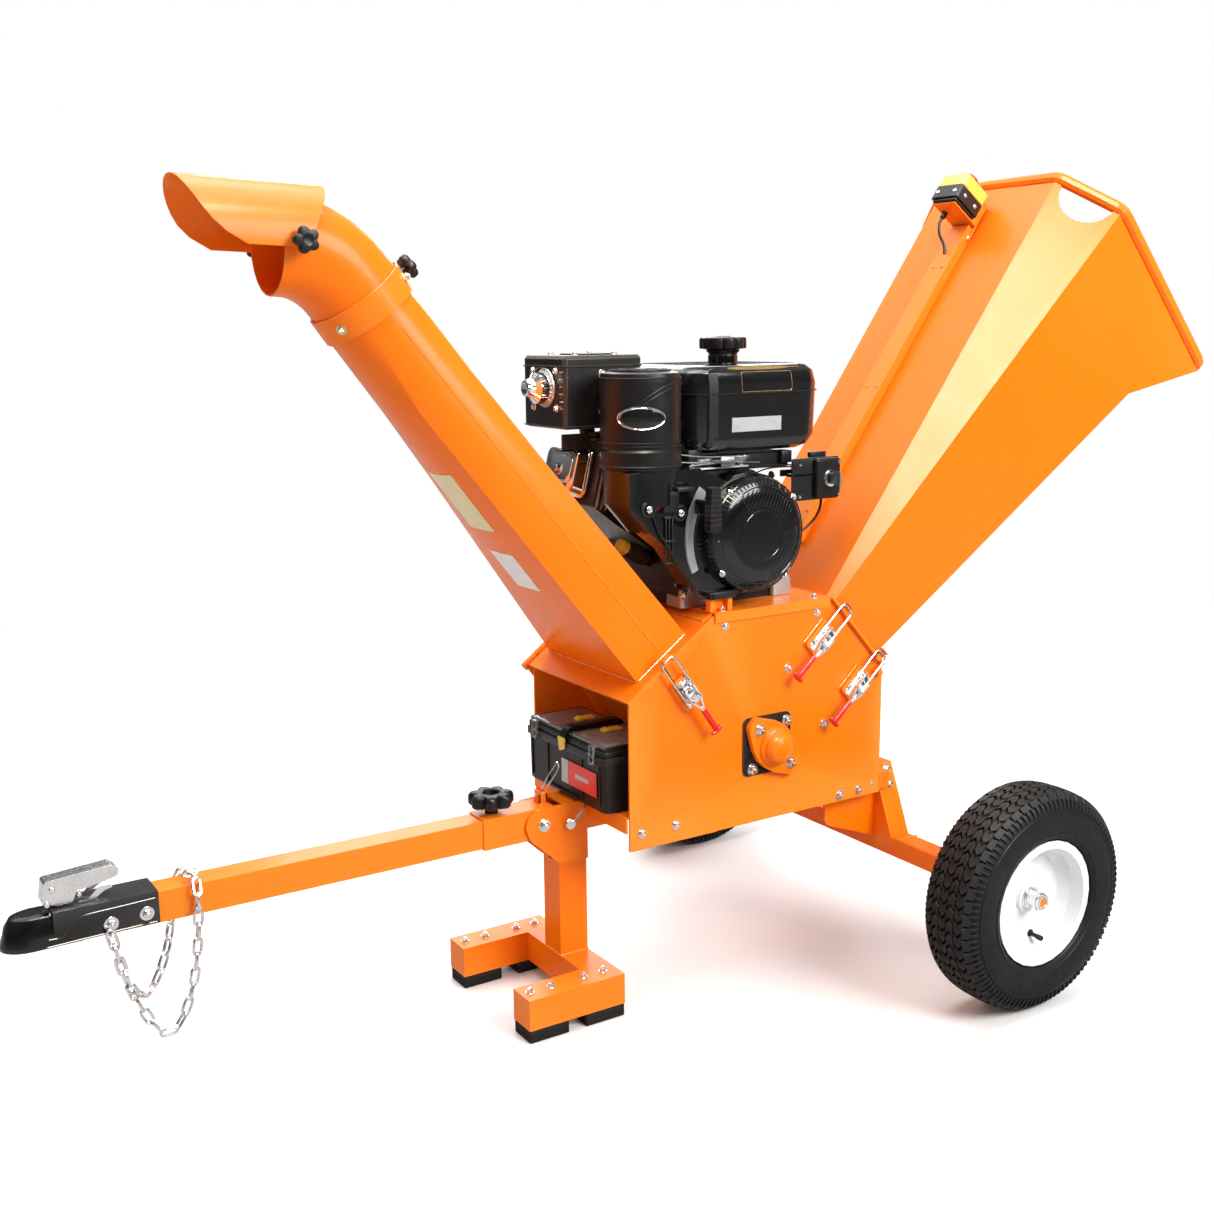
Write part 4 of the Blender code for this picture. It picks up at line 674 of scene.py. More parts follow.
tyre_piece(-1, "tyre_near", "wheel_near", "tyre_tread_near")
tyre_piece(1, "tyre_far", "wheel_far", "tyre_tread_far")
for sd, nm in ((-1, "near"), (1, "far")):
    lo, hi = box_of("wheel_rim_" + nm)
    face = WHEEL_Y + .016
    ax = V((0, sd, 0))
    o = V((0, sd * face, WHEEL_R))
    bm = lathe([(.0132, .0006), (.0195, .0006), (.0205, .0014), (.0200, .0028), (.0132, .0028)], o, ax, 40, closed=True)
    lathe([(.0132, .0030), (.0165, .0030), (.0170, .0036), (.0165, .0050), (.0132, .0050)], o, ax, 40, closed=True, bm=bm)
    lathe([(.0130, .0052), (.0150, .0052), (.0154, .0058), (.0152, .0092), (.0130, .0096)], o, ax, 36, closed=True, bm=bm)
    tipy = .5410 - face
    lathe([(.0129, .0098), (.0158, .0098), (.0160, .0106), (.0158, tipy - .0050), (.0140, tipy - .0040), (.0138, tipy + .0004), (.0128, tipy + .0010),
           (.0088, tipy + .0010), (.0084, tipy + .0003), (.0129, tipy + .0002)], o, ax, 36, closed=True, bm=bm)
    piece("hub_washers_" + nm, bm, ZINC, "frame")
    bm = sweep(smooth_path([o + V((-.010, sd * .0160, .0125)), o + V((-.004, sd * .0158, .0150)), o + V((0, sd * .0160, .0105)),
                            o + V((0, sd * .0160, -.0150)), o + V((-.004, sd * .0160, -.0185))], 6), .0014, 8)
    piece("axle_cotter_" + nm, bm, YZINC, "frame")
    v = V((.013, sd * (WHEEL_Y + .0084), WHEEL_R - .073))
    bm = lathe([(0, 0), (.0066, 0), (.0068, .0016), (.0046, .0030), (.0038, .0060), (.0037, .0165), (.0050, .0168), (.0051, .0262),
                (.0042, .0276), (0, .0280)], v, ax + V((0, 0, -.06)), 24)
    piece("valve_stem_" + nm, bm, RUBBER, "wheel_" + nm)
    # pressed ring and stiffening step on the disc
    bm = bmesh.new()
    for r0, h in ((.098, .0012), (.040, .0010)):
        y0 = WHEEL_Y + .0083
        lathe([(r0 - .0042, -.0010), (r0 - .0022, h), (r0, h * 1.5), (r0 + .0022, h), (r0 + .0042, -.0010)],
              V((0, sd * y0, WHEEL_R)), ax, 96, closed=True, bm=bm)
    piece("disc_rings_" + nm, bm, WHITE, "wheel_" + nm)

# ----------------------------------------------------------------- rubber feet
for sd, nm in ((-1, "near"), (1, "far")):
    bm = bmesh.new()
    for x0, x1 in ((-.8165, -.7385), (-.7035, -.6245)):
        cx, hx = (x0 + x1) / 2, (x1 - x0) / 2
        slab(cx, sd * .124, hx, .0282, .003, [(0.0003, .0022), (.0012, .0006), (.0024, 0), (.0112, 0), (.0118, .0010), (.0124, .0010),
                                             (.0130, 0), (.0222, 0), (.0232, .0012)], bm=bm)
    piece("foot_pads_" + nm, bm, RUBBER, "frame", hide=("foot_pad_" + nm,))

# -------------------------------------------------------- bolts on the chassis
bm = bmesh.new()
for sd in (-1, 1):
    for x in (-.800, -.758, -.692, -.652):
        p, n = hit("front_stand", (x, sd * .124, 1), (0, 0, -1))
        if p:
            hexbolt(bm, p, Z, .0058, .0050, .0082, .0026)
for nd, sd in (("side_plate_near", -1), ("side_plate_far", 1)):
    for x, z in ((-.273, .589), (-.186, .470), (-.143, .322), (-.095, .324), (-.595, .338), (-.523, .339)):
        if sd > 0 and -.44 < x < -.18 and z > .35:
            continue
        hexbolt(bm, V((x, sd * HALF_W, z)), V((0, sd, 0)), .0060, .0052, .0086, .0022)
for x in (-.417, -.207):
    for sd in (-1, 1):
        hexbolt(bm, V((x, sd * .1580, .7113)), Z, .0052, .0044, .0076, .002)
        hexbolt(bm, V((x, sd * HALF_W, .6850)), V((0, sd, 0)), .0052, .0044, .0076, .002)
for sd in (-1, 1):
    for x, z in ((.007, .340), (.004, .312)):
        p, n = near("axle_frame", x, z, sd * 1.)
        if p:
            hexbolt(bm, p, n, .0060, .0052, .0086, .002)
    p = V((-.714, sd * .034, .338))
    hexbolt(bm, p, V((0, sd, 0)), .0078, .0058, .0118, .004)
    for x in (-.135, -.060):
        p, n = near("axle_frame", x, .330, sd * 1.)
        if p and abs(p.y) > .15:
            hexbolt(bm, p, n, .0056, .0048, .0080, .002)
piece("chassis_bolts", bm, ZINC, "frame")

# ------------------------------------------------------------ bearing fasteners
bm = bmesh.new()
bt = bmesh.new()
for x, z, y in ((-.2775, .492, -.1693), (-.356, .412, -.1693)):
    hexbolt(bm, (x, y, z), -Y, .0078, .0064, .0112, 0, False)
    lathe([(0, .0081), (.0040, .0081), (.0040, .0118), (.0032, .0128), (0, .0128)], (x, y, z), -Y, 16, bm=bt)
dv = V((-.0360, 0, .0365))
for sg in (1, -1):
    p, n = near("bearing_near", ROTOR.x + dv.x * sg, ROTOR.z + dv.z * sg)
    p = p if p else V((ROTOR.x + dv.x * sg, -.1811, ROTOR.z + dv.z * sg))
    hexbolt(bm, p, -Y, .0078, .0064, .0112, 0, False)
    lathe([(0, .0081), (.0040, .0081), (.0040, .0130), (.0032, .0140), (0, .0140)], p, -Y, 16, bm=bt)
piece("bearing_nuts", bm, ZINC, "frame")
piece("bearing_studs", bt, BRASS, "frame")
bm = bmesh.new()
for r0, y0 in ((.0285, None), (.0140, None)):
    pts = []
    for k in range(48):
        a = 2 * math.pi * k / 48
        p, n = near("bearing_near", ROTOR.x + r0 * math.cos(a), ROTOR.z + r0 * math.sin(a))
        if p:
            pts.append(p)
    if len(pts) == 48:
        sweep(pts, .0009, 6, closed=True, bm=bm)
if len(bm.verts):
    piece("bearing_cap_rings", bm, ORANGE, "frame")
else:
    bm.free()
# thin dark sheets on the bearing plate: painted shade standing in for the shadowed slot openings
bm = bmesh.new()
for cx, cz, ang, L in ((-.2850, .4785, -.9, .0075), (-.3640, .4360, .9, .0085), (-.3660, .4640, 1.4, .0050), (-.3280, .5010, .15, .0065),
                       (-.2740, .4300, 1.5, .0060), (-.3080, .4060, .1, .0060)):
    d = V((math.cos(ang), 0, math.sin(ang)))
    q = V((-d.z, 0, d.x))
    pts = []
    for k in range(16):
        a = 2 * math.pi * k / 16
        e = d * (L if math.cos(a) > 0 else -L) + (d * math.cos(a) + q * math.sin(a)) * .0021
        pts.append((cx + e.x, cz + e.z))
    prism(pts, lambda u, v, h: V((u, h, v)), -.1694, -.1689, bm)
piece("bearing_slot_shade", bm, RECESS_SHADE, "frame")

# ------------------------------------------------------------------ latches
LATCH = ((1, CH, .095), (2, HO, .034), (3, HO, .166))
bmb = bmesh.new()
bmk = bmesh.new()
for num, F, s0 in LATCH:
    def L(ds, n, y, F=F, s0=s0):
        return F(s0 + ds, y, n)
    # base plate with ears, rivets and rolled eye, fixed to the pad
    prism(rounded([(-.0150, -.094), (.0150, -.094), (.0150, -.040), (-.0150, -.040)], .003, 3), L, -.1740, -.1754, bmb)
    for ds in (-.0078, .0060):
        prism(rounded([(0, -.078), (0, -.040)] + [(.0018, -.040), (.0018, -.078)], 0, 1),
              lambda u, v, h, ds=ds: F(s0 + ds + u, h, v), -.1752, -.1868, bmb)
    rod(L(-.0092, -.0715, -.1812), L(.0092, -.0715, -.1812), .0026, 14, bmb)
    rod(L(-.0050, -.0435, -.1800), L(.0050, -.0435, -.1800), .0036, 14, bmb)
    for ds, n in ((-.0112, -.0895), (.0112, -.0895), (-.0112, -.0440), (.0112, -.0440), (0, -.0875)):
        lathe([(0, 0), (.0026, 0), (.0024, .0010), (.0012, .0016), (0, .0017)], L(ds, n, -.1754), -Y, 14, bm=bmb)
    # forked lever, its eyes on the pivot pin
    jp = V(next(j for j in frame["record"]["behaviour"]["joints"] if j["name"] == "latch_%d_lever" % num)["pos_m"]) - UNDER_AXLE
    jn = (jp - L(0, 0, -.18)).dot(CN if F is CH else HN)
    bl = bmesh.new()
    for sg in (-1, 1):
        pts = [(sg * .0118, jn + .0008), (sg * .0118, -.0790), (sg * .0034, -.1030), (sg * .0002, -.1030), (sg * .0084, -.0760), (sg * .0084, jn + .0008)]
        rod(L(sg * .0084, jn, jp.y), L(sg * .0104, jn, jp.y), .0043, 20, bl)
        prism([(sg * .0084, jn - .0002), (sg * .0104, jn - .0002), (sg * .0104, jn - .0075), (sg * .0084, jn - .0075)][::sg], L, jp.y, -.1852, bl)
        prism(pts if sg > 0 else pts[::-1], L, -.1848, -.1920, bl)
    prism(rounded([(-.0034, -.0985), (.0034, -.0985), (.0034, -.1120), (-.0034, -.1120)], .0006, 2), L, -.1858, -.1912, bl)
    prism(rounded([(-.0104, -.0740), (.0104, -.0740), (.0104, -.0800), (-.0104, -.0800)], .001, 2), L, -.1900, -.1920, bl)
    rod(L(-.0120, jn, jp.y), L(.0120, jn, jp.y), .0022, 14, bl)
    piece("latch_fork_%d" % num, bl, ZINC, "lever_%d" % num, bevel=.0003, hide=("latch_lever_%d" % num,))
    # dipped grip with a tee end
    rings = []
    for n, a in ((-.1050, .0034), (-.1056, .0048), (-.1080, .0054), (-.1300, .0055), (-.1500, .0054), (-.1555, .0052), (-.1585, .0040)):
        rings.append([L(a * math.cos(2 * math.pi * k / 24), n, -.1885 + a * .82 * math.sin(2 * math.pi * k / 24)) for k in range(24)])
    bg = loft(rings)
    rings = []
    for t in [i / 14 - .5 for i in range(15)]:
        rr = .0050 * math.sqrt(max(.02, 1 - (2 * abs(t)) ** 6))
        c = L(t * .0270, -.1575 + .0022 * (abs(t) * 2) ** 2, -.1885)
        rings.append([c + Y * (rr * .86 * math.cos(2 * math.pi * k / 18)) + (CN if F is CH else HN) * (rr * .8 * math.sin(2 * math.pi * k / 18))
                      for k in range(18)])
    loft(rings, bm=bg)
    piece("latch_grip_%d" % num, bg, RED, "lever_%d" % num, angle=32)
    # weld beads along the folded pad edges
    bead(bmk, [L(-.0225, -.0985, -.1665), L(-.0225, -.0340, -.1665)], .0016)
    bead(bmk, [L(.0225, -.0985, -.1665), L(.0225, -.0340, -.1665)], .0016)
    bead(bmk, [L(-.0225, -.0990, -.1665), L(.0225, -.0990, -.1665)], .0016)
piece("latch_bases", bmb, ZINC, "frame")
piece("latch_pad_welds", bmk, WELD, "frame")
for F, body, ss, nm in ((CH, "chute", (.095,), "chute"), (HO, "hopper", (.034, .166), "hopper")):
    bm = bmesh.new()
    for s0 in ss:
        prism(rounded([(s0 - .0095, .0010), (s0 + .0095, .0010), (s0 + .0095, .0205), (s0 - .0095, .0205)], .003, 3),
              lambda u, v, h: F(u, h, v), -.1742, -.1762, bm)
        prism(rounded([(s0 - .0095, .0160), (s0 + .0095, .0160), (s0 + .0095, .0190), (s0 - .0095, .0190)], .0006, 2),
              lambda u, v, h: F(u, h, v), -.1745, -.1832, bm)
    piece("catch_hooks_" + nm, bm, ORANGE, body, bevel=.0004)

# -------------------------------------------------- welds, lugs and deck bracket
bm = bmesh.new()
for sd in (-1, 1):
    for a, b in (((-.682, .0805), (-.625, .0805)),):
        bead(bm, [V((a[0], sd * .0290, a[1])), V((b[0], sd * .0290, b[1]))], .0024)
bead(bm, [V((-.6825, -.0285, .0805)), V((-.6825, .0285, .0805))], .0024)
bead(bm, [V((-.6245, -.0285, .0805)), V((-.6245, .0285, .0805))], .0024)
for sd in (-1, 1):
    bead(bm, [V((-.0235, sd * .2075, .2190)), V((.0235, sd * .2075, .2190))], .0022)
    bead(bm, [V((-.0400, sd * .1662, .345)), V((-.0400, sd * .1662, .3125))], .0018)
    bead(bm, [V((-.430, sd * .1640, .3095)), V((-.620, sd * .1640, .3095))], .0014)
piece("frame_welds", bm, WELD, "frame")

bm = bmesh.new()
for x0 in (-.4450, -.4070):
    boxm(x0, x0 + .0100, -.1610, -.1490, .7112, .7345, .0008, bm=bm)
boxm(-.4450, -.3970, -.1500, -.1470, .7112, .7345, .0008, bm=bm)
piece("clip_bracket", bm, ORANGE, "frame")
bm = bmesh.new()
boxm(-.4500, -.3920, -.1680, -.1440, .7345, .7480, .0028, 3, bm=bm)
boxm(-.4440, -.3980, -.1710, -.1675, .7365, .7460, .0010, bm=bm)
sweep(smooth_path([(-.448, -.156, .741), (-.462, -.158, .738), (-.478, -.160, .746), (-.492, -.161, .770), (-.512, -.160, .800),
                   (-.530, -.158, .832), (-.548, -.155, .862), (-.560, -.152, .890)], 8), .0015, 8, bm=bm)
sweep(smooth_path([(-.393, -.155, .741), (-.382, -.158, .739), (-.372, -.160, .746), (-.379, -.158, .752), (-.391, -.155, .745)], 8), .0011, 8, bm=bm)
piece("wire_clip", bm, BLACK, "frame")

# hinge-side lugs at the feed end of the housing
bm = bmesh.new()
for x, z in ((-.0600, .5820), (-.0560, .5520)):
    lathe([(0, 0), (.0058, 0), (.0066, .0010), (.0066, .0120), (.0056, .0132), (0, .0132)], (x, -.1650, z), -Y, 20, bm=bm)
piece("stop_lugs", bm, ORANGE, "frame")

# -------------------------------------------------------------- hitch details
SK, lo_s, hi_s = span("sleeve_knob", Z)
bm = star(.0410, 7, .0130, .0380, SK + Z * lo_s, Z, .0115, 0., hollow=True)
piece("sleeve_star_knob", bm, BLACK, "sleeve_screw", angle=32, hide=("sleeve_knob",))
EK, lo_e, hi_e = span("elbow_knob", CD)
bm = star(.0205, 5, .0110, .0250, EK + CD * lo_e, CD, .0065, 0.)
piece("elbow_star_knob", bm, BLACK, "elbow_screw", hide=("elbow_knob",))
HK, lo_h, hi_h = span("hood_knob_near", -Y)
kb = HK - Y * lo_h
bm = star(.0205, 5, (hi_h - lo_h) * .36, hi_h - lo_h, kb, -Y, .0065, 0.)
piece("hood_star_knob", bm, BLACK, "hood_screw", hide=("hood_knob_near",))
bm = star(.0205, 5, (hi_h - lo_h) * .36, hi_h - lo_h, V((kb.x, -kb.y, kb.z)), Y, .0065, 0.)
piece("hood_star_knob_far", bm, BLACK, "hood")

bm = bmesh.new()
for x0 in (-.7095, -.6965):
    boxm(x0, x0 + .0035, -.0090, .0090, .3688, .3930, .0006, bm=bm)
boxm(-.7095, -.6930, -.0090, -.0060, .3688, .3880, .0006, bm=bm)
bead(bm, [V((-.7110, -.0100, .3690)), V((-.6920, -.0100, .3690))], .0016)
piece("cable_clevis", bm, ORANGE, "sleeve")
bm = bmesh.new()
rod((-.7125, 0, .3850), (-.6895, 0, .3850), .0030, 14, bm)
sweep(smooth_path([(-.7010, -.002, .3860), (-.7000, -.006, .4000), (-.6920, -.010, .4180), (-.6800, -.012, .4330), (-.6730, -.012, .4420),
                   (-.6690, -.010, .4330), (-.6750, -.009, .4190), (-.6860, -.006, .4030), (-.6930, -.002, .3880)], 8), .0014, 8, bm=bm)
piece("clevis_lanyard", bm, ZINC, "sleeve")
lo, hi = box_of("hitch_pin")
pc = V((-.6655, lo.y, .333))
bm = bmesh.new()
sweep(smooth_path([pc + V((.000, .0020, .0080)), pc + V((.004, -.002, .006)), pc + V((.012, -.002, .013)), pc + V((.026, -.001, .027)),
                   pc + V((.036, .003, .036)), pc + V((.040, .010, .0385))], 8), .0022, 10, bm=bm)
sweep(smooth_path([pc + V((-.006, .0035, -.005)), pc + V((.001, .0030, -.0085)), pc + V((.0085, .0035, -.003)), pc + V((.0075, .0035, .006)),
                   pc + V((-.001, .0035, .0090)), pc + V((-.0085, .0035, .003))], 6, closed=True), .0013, 8, closed=True, bm=bm)
piece("hitch_pin_clip", bm, ZINC, "stand_pin")
# dark disc and ring on the stand column: painted shade standing in for the shadowed hole
bm = lathe([(.0088, 0), (.0115, 0), (.0120, .0006), (.0115, .0012), (.0088, .0012)], V((-.6828, 0, .271)), -X, 32, closed=True)
lathe([(0, .0004), (.0090, .0004), (.0090, .0009), (0, .0009)], V((-.6826, 0, .271)), -X, 32, bm=bm)
piece("column_hole_shade", bm, RECESS_SHADE, "frame")

lo, hi = box_of("coupler")
CY = None
bm = bmesh.new()
for sd in (-1, 1):
    for x, z in ((-1.406, .338), (-1.459, .334)):
        p, n = near("coupler", x, z, sd * 1.)
        if p:
            hexbolt(bm, p, V((0, sd, 0)), .0070, .0056, .0112, .003)
            if CY is None:
                CY = abs(p.y)
CY = CY or .030
rod((-1.462, -CY - .004, .3340), (-1.462, CY + .004, .3340), .004, 12, bm)
piece("coupler_bolts", bm, ZINC, "drawbar")
bm = bmesh.new()
for sd in (-1, 1):
    for path in (((-1.548, .3300), (-1.530, .3310), (-1.516, .3470), (-1.498, .3560), (-1.440, .3580), (-1.392, .3595)),
                 ((-1.552, .3190), (-1.500, .3200), (-1.440, .3210), (-1.392, .3215))):
        pts = []
        for q in smooth_path([V((x, 0, z)) for x, z in path], 5):
            p, n = near("coupler", q.x, q.z, sd * 1.)
            if p:
                pts.append(p)
        if len(pts) > 3:
            sweep(pts, .0016, 8, bm=bm)
if len(bm.verts):
    piece("coupler_beads", bm, BLACKPAINT, "drawbar")


def chain(bm, pts, pitch=.0235, wire=.0026, w=.0062, L=.0110, twist0=0.):
    path = smooth_path(pts, 30)
    d = [0.]
    for a, b in zip(path, path[1:]):
        d.append(d[-1] + (b - a).length)
    k = int(d[-1] // pitch)
    step = d[-1] / k
    for i in range(k):
        t = (i + .5) * step
        j = max(1, next((m for m, x in enumerate(d) if x >= t), len(d) - 1))
        f = (t - d[j - 1]) / max(d[j] - d[j - 1], 1e-9)
        c = path[j - 1].lerp(path[j], f)
        a = (path[j] - path[j - 1]).normalized()
        side = a.cross(Y)
        side = side.normalized() if side.length > .2 else X
        tw = twist0 + (math.pi / 2 if i % 2 else 0) + rnd.uniform(-.22, .22)
        u = side * math.cos(tw) + a.cross(side) * math.sin(tw)
        oval = []
        for m in range(20):
            q = 2 * math.pi * m / 20
            oval.append(c + a * (math.copysign(L - 0.0, math.cos(q)) * (1 if abs(math.cos(q)) > .35 else abs(math.cos(q)) / .35) * .62
                                 + .0065 * math.cos(q)) + u * (w * math.sin(q)))
        sweep(oval, wire, 7, closed=True, bm=bm)


bm = bmesh.new()
yb = CY + .0085
chain(bm, [(-1.464, -yb, .3260), (-1.452, -yb, .2700), (-1.432, -yb - .002, .2050), (-1.408, -yb - .004, .1580), (-1.388, -yb - .004, .1450),
           (-1.366, -yb - .004, .1640), (-1.345, -yb - .002, .2200), (-1.334, -yb, .2900), (-1.330, -yb + .003, .3520), (-1.329, -.0270, .3740)])
chain(bm, [(-1.461, -yb + .001, .3180), (-1.450, -.030, .2600), (-1.436, -.020, .2200), (-1.412, 0, .1960), (-1.388, .016, .2080),
           (-1.366, .028, .2500), (-1.350, yb, .3050), (-1.340, yb, .3560), (-1.336, .0270, .3730)], twist0=.4)
sweep([V((-1.331 + .0125 * math.cos(a), -.004 + .006 * math.sin(a), .3745 + .0105 * math.sin(a) * .55 + .004))
       for a in [2 * math.pi * k / 28 for k in range(28)]], .0021, 8, closed=True, bm=bm)
sweep(smooth_path([(-1.345, -.012, .3795), (-1.338, -.016, .3850), (-1.330, -.020, .3800), (-1.328, -.0265, .3745), (-1.333, -.028, .3710)], 7),
      .0022, 8, bm=bm)
sweep(smooth_path([(-1.328, -.020, .3765), (-1.331, -.004, .3748), (-1.333, .012, .3752), (-1.336, .026, .3745)], 7), .0024, 8, bm=bm)
piece("safety_chains", bm, ZINC, "drawbar")

# coupler latch: folded trigger and clamp seen beside the handle
lo, hi = box_of("coupler_latch")
bm = bmesh.new()
yl = hi.y
prism(rounded([(-1.500, .3740), (-1.486, .3745), (-1.470, .3900), (-1.452, .3900), (-1.449, .3860), (-1.462, .3830), (-1.478, .3720),
               (-1.500, .3715)], .0016, 3), XZ, -yl - .0018, -yl - .0003, bm)
prism(rounded([(-1.500, .3740), (-1.486, .3745), (-1.470, .3900), (-1.452, .3900), (-1.449, .3860), (-1.462, .3830), (-1.478, .3720),
               (-1.500, .3715)], .0016, 3), XZ, yl + .0003, yl + .0018, bm)
for x, z, r in ((-1.5350, .3990, .0042), (-1.4980, .3850, .0036), (-1.5440, .3780, .0040)):
    rod((x, -yl - .0034, z), (x, yl + .0034, z), r, 16, bm)
piece("trigger_and_rivets", bm, ZINC, "coupler_lever")

# ------------------------------------------------------------------- chute
bm = bmesh.new()
line = []
for k in range(60):
    n = .020 + k * (.716 - .020) / 59
    s = .104 - .020 * k / 59
    q = CH(s, 0, n)
    p, nn = near("chute_duct", q.x, q.z)
    if p and p.y < -.05:
        line.append(p + V((0, .0004, 0)))
if len(line) > 20:
    sweep(line, lambda f: .0019 * (1 + .18 * math.sin(f * 150)), 8, bm=bm)
for sd in (-1, 1):
    bead(bm, [CH(.0385, sd * .1508, .0060), CH(.1615, sd * .1508, .0060)], .0022)
bead(bm, [CH(.1628, -.150, .0060), CH(.1628, .150, .0060)], .0022)
bead(bm, [CH(.0372, -.150, .0060), CH(.0372, .150, .0060)], .0022)
piece("chute_welds", bm, WELD, "chute")
# two blank notice plates on the underside face
def notice(nm, y0, y1, n0, n1, m):
    bm = bmesh.new()
    gu, gv = 5, 7
    top_, bot_ = [], []
    for i in range(gu + 1):
        ta, tb = [], []
        for j in range(gv + 1):
            p, n = hit("chute_duct", CH(-.20, y0 + (y1 - y0) * i / gu, n0 + (n1 - n0) * j / gv), CD)
            if not p:
                bm.free()
                return
            ta.append(bm.verts.new(p + n * .0011))
            tb.append(bm.verts.new(p - n * .0006))
        top_.append(ta)
        bot_.append(tb)
    for i in range(gu):
        for j in range(gv):
            bm.faces.new((top_[i][j], top_[i + 1][j], top_[i + 1][j + 1], top_[i][j + 1]))
            bm.faces.new((bot_[i][j], bot_[i][j + 1], bot_[i + 1][j + 1], bot_[i + 1][j]))
    for i in range(gu):
        for j in (0, gv):
            bm.faces.new((top_[i][j], top_[i + 1][j], bot_[i + 1][j], bot_[i][j]))
    for j in range(gv):
        for i in (0, gu):
            bm.faces.new((top_[i][j], top_[i][j + 1], bot_[i][j + 1], bot_[i][j]))
    piece(nm, bm, m, "chute")


notice("blank_notice_upper", -.043, .043, .345, .470, CREAM)
notice("blank_notice_lower", -.040, .040, .205, .290, WHITE)
# collar clamp bolts and joint ring of the elbow
bm = bmesh.new()
AX = CH(.080, 0, 0)
for a in (100, 215, 325):
    d = (CD * math.cos(R(a)) + Y * math.sin(R(a)))
    base = CH(.080, 0, .762) + d * .0808
    hexbolt(bm, base, d, .0062, .0052, .0088, .0020)
piece("collar_bolts", bm, YZINC, "elbow")
bm = bmesh.new()
u0 = CH(.080, 0, .7835)
pts = [u0 + CD * (.0795 * math.cos(2 * math.pi * k / 64)) + Y * (.0795 * math.sin(2 * math.pi * k / 64)) for k in range(64)]
sweep(pts, lambda f: .0017 * (1 + .15 * math.sin(f * 260)), 8, closed=True, bm=bm)
piece("elbow_weld", bm, WELD, "elbow")
# pivot screws of the hood
bm = bmesh.new()
for sd in (-1, 1):
    p, n = near("chute_hood", -1.175, 1.318, sd * 1.)
    if p:
        hexbolt(bm, p, n, .0054, .0044, .0078, .002)
if len(bm.verts):
    piece("hood_screws", bm, ZINC, "hood")
else:
    bm.free()

# ------------------------------------------------------------------- hopper
WD = V((.59038, 0, .80712))
WN = V((-.80712, 0, .59038))
W0 = HO(.004, 0, .0053)


def WALL(u, v, h):
    return W0 + Y * u + WN * v + WD * h


def wbox(u0, u1, v0, v1, h0, h1, r=.003, bm=None, ease=.0012):
    rings = []
    for h, ins in ((h0, ease), (h0 + ease, 0), (h1 - ease, 0), (h1, ease)):
        pts = rounded([(u0 + ins, v0 + ins), (u1 - ins, v0 + ins), (u1 - ins, v1 - ins), (u0 + ins, v1 - ins)], r, 4)
        rings.append([WALL(a, b, h) for a, b in pts])
    return loft(rings, bm=bm)


bm = wbox(-.0190, .0530, .0210, .0930, .8852, .9118, .006)
wbox(-.0150, .0490, .0250, .0890, .9112, .9130, .005, bm, .0006)
piece("stop_cover", bm, YELLOW, "hopper", hide=("estop_box",))
bm = wbox(-.0190, .0530, .0210, .0930, .8560, .8848, .005)
wbox(-.0150, .0490, .0250, .0890, .8505, .8562, .004, bm)
lathe([(0, 0), (.0075, 0), (.0080, .002), (.0062, .003), (.0056, .016), (.0040, .018), (0, .018)], WALL(.034, .057, .8505), -WD, 20, bm=bm)
sweep(smooth_path([WALL(.034, .057, .8340), WALL(.034, .056, .8200), WALL(.030, .046, .8020), WALL(.022, .030, .7880), WALL(.017, .0205, .7720)], 8),
      .0030, 10, bm=bm)
piece("stop_base", bm, BLACK, "hopper")
bm = wbox(-.0120, .0460, .0040, .0225, .8460, .9000, .002)
wbox(-.0120, .0460, .0205, .0840, .8465, .8500, .0015, bm, .0006)
wbox(-.0120, .0460, .0040, .0075, .8130, .8470, .0015, bm, .0006)
piece("stop_bracket", bm, ORANGE, "hopper")
bm = bmesh.new()
for u, v in ((-.010, .040), (-.010, .074)):
    lathe([(0, 0), (.0042, 0), (.0040, .0014), (.0022, .0022), (0, .0023)], WALL(-.0190, v, .8705), -Y, 18, bm=bm)
for u in (-.006, .040):
    lathe([(0, 0), (.0042, 0), (.0040, .0014), (.0022, .0022), (0, .0023)], WALL(u, .0930, .8700), WN, 18, bm=bm)
for u in (-.003, .041):
    hexbolt(bm, WALL(u, .0075, .8210), WN, .0040, .0032, .0060, 0)
piece("stop_screws", bm, ZINC, "hopper")
bm = bmesh.new()
ex, lo_b, hi_b = span("estop_button", WD)
bo = ex + WD * hi_b
lathe([(.0150, -.0068), (.0172, -.0068), (.0178, -.0060), (.0172, -.0050), (.0150, -.0050)], ex + WD * (lo_b + .007), WD, 40, closed=True, bm=bm)
piece("stop_collar", bm, BLACK, "hopper")
# welds of the flange joint
bm = bmesh.new()
for sd in (-1, 1):
    bead(bm, [HO(.0157, sd * .1588, .0062), HO(.170, sd * .1588, .0062)], .0020)
bead(bm, [HO(.1712, -.158, .0062), HO(.1712, .158, .0062)], .0020)
piece("hopper_welds", bm, WELD, "hopper")
bm = bmesh.new()
for h in (.16, .45, .74):
    for u in (.004, .030):
        p, n = hit("estop_channel", WALL(u, .30, h), -WN)
        if p:
            lathe([(0, 0), (.0036, 0), (.0034, .0012), (.0018, .0018), (0, .0019)], p, WN, 14, bm=bm)
if len(bm.verts):
    piece("channel_screws", bm, ORANGE, "hopper")
else:
    bm.free()

# ------------------------------------------------------------------- engine
def PB(x, z, y=-1., node="blower_housing"):
    return near(node, x, z, y)


# cooling fins of the cylinder
A = V((-.970, 0, .243)).normalized()
Bv = V((.243, 0, .970)).normalized()
F0 = V((-.583, .0527, .949))
bm = bmesh.new()
for k in range(7):
    c = F0 - A * (.006 + k * .0098)
    rings = []
    for t in (-.0011, .0011):
        pts = rounded([(-.0775, -.0590), (.0775, -.0590), (.0775, .0590), (-.0775, .0590)], .008, 3)
        rings.append([c + Y * a + Bv * b + A * t for a, b in pts])
    loft(rings, bm=bm)
piece("cylinder_fins", bm, ALLOY, "frame")
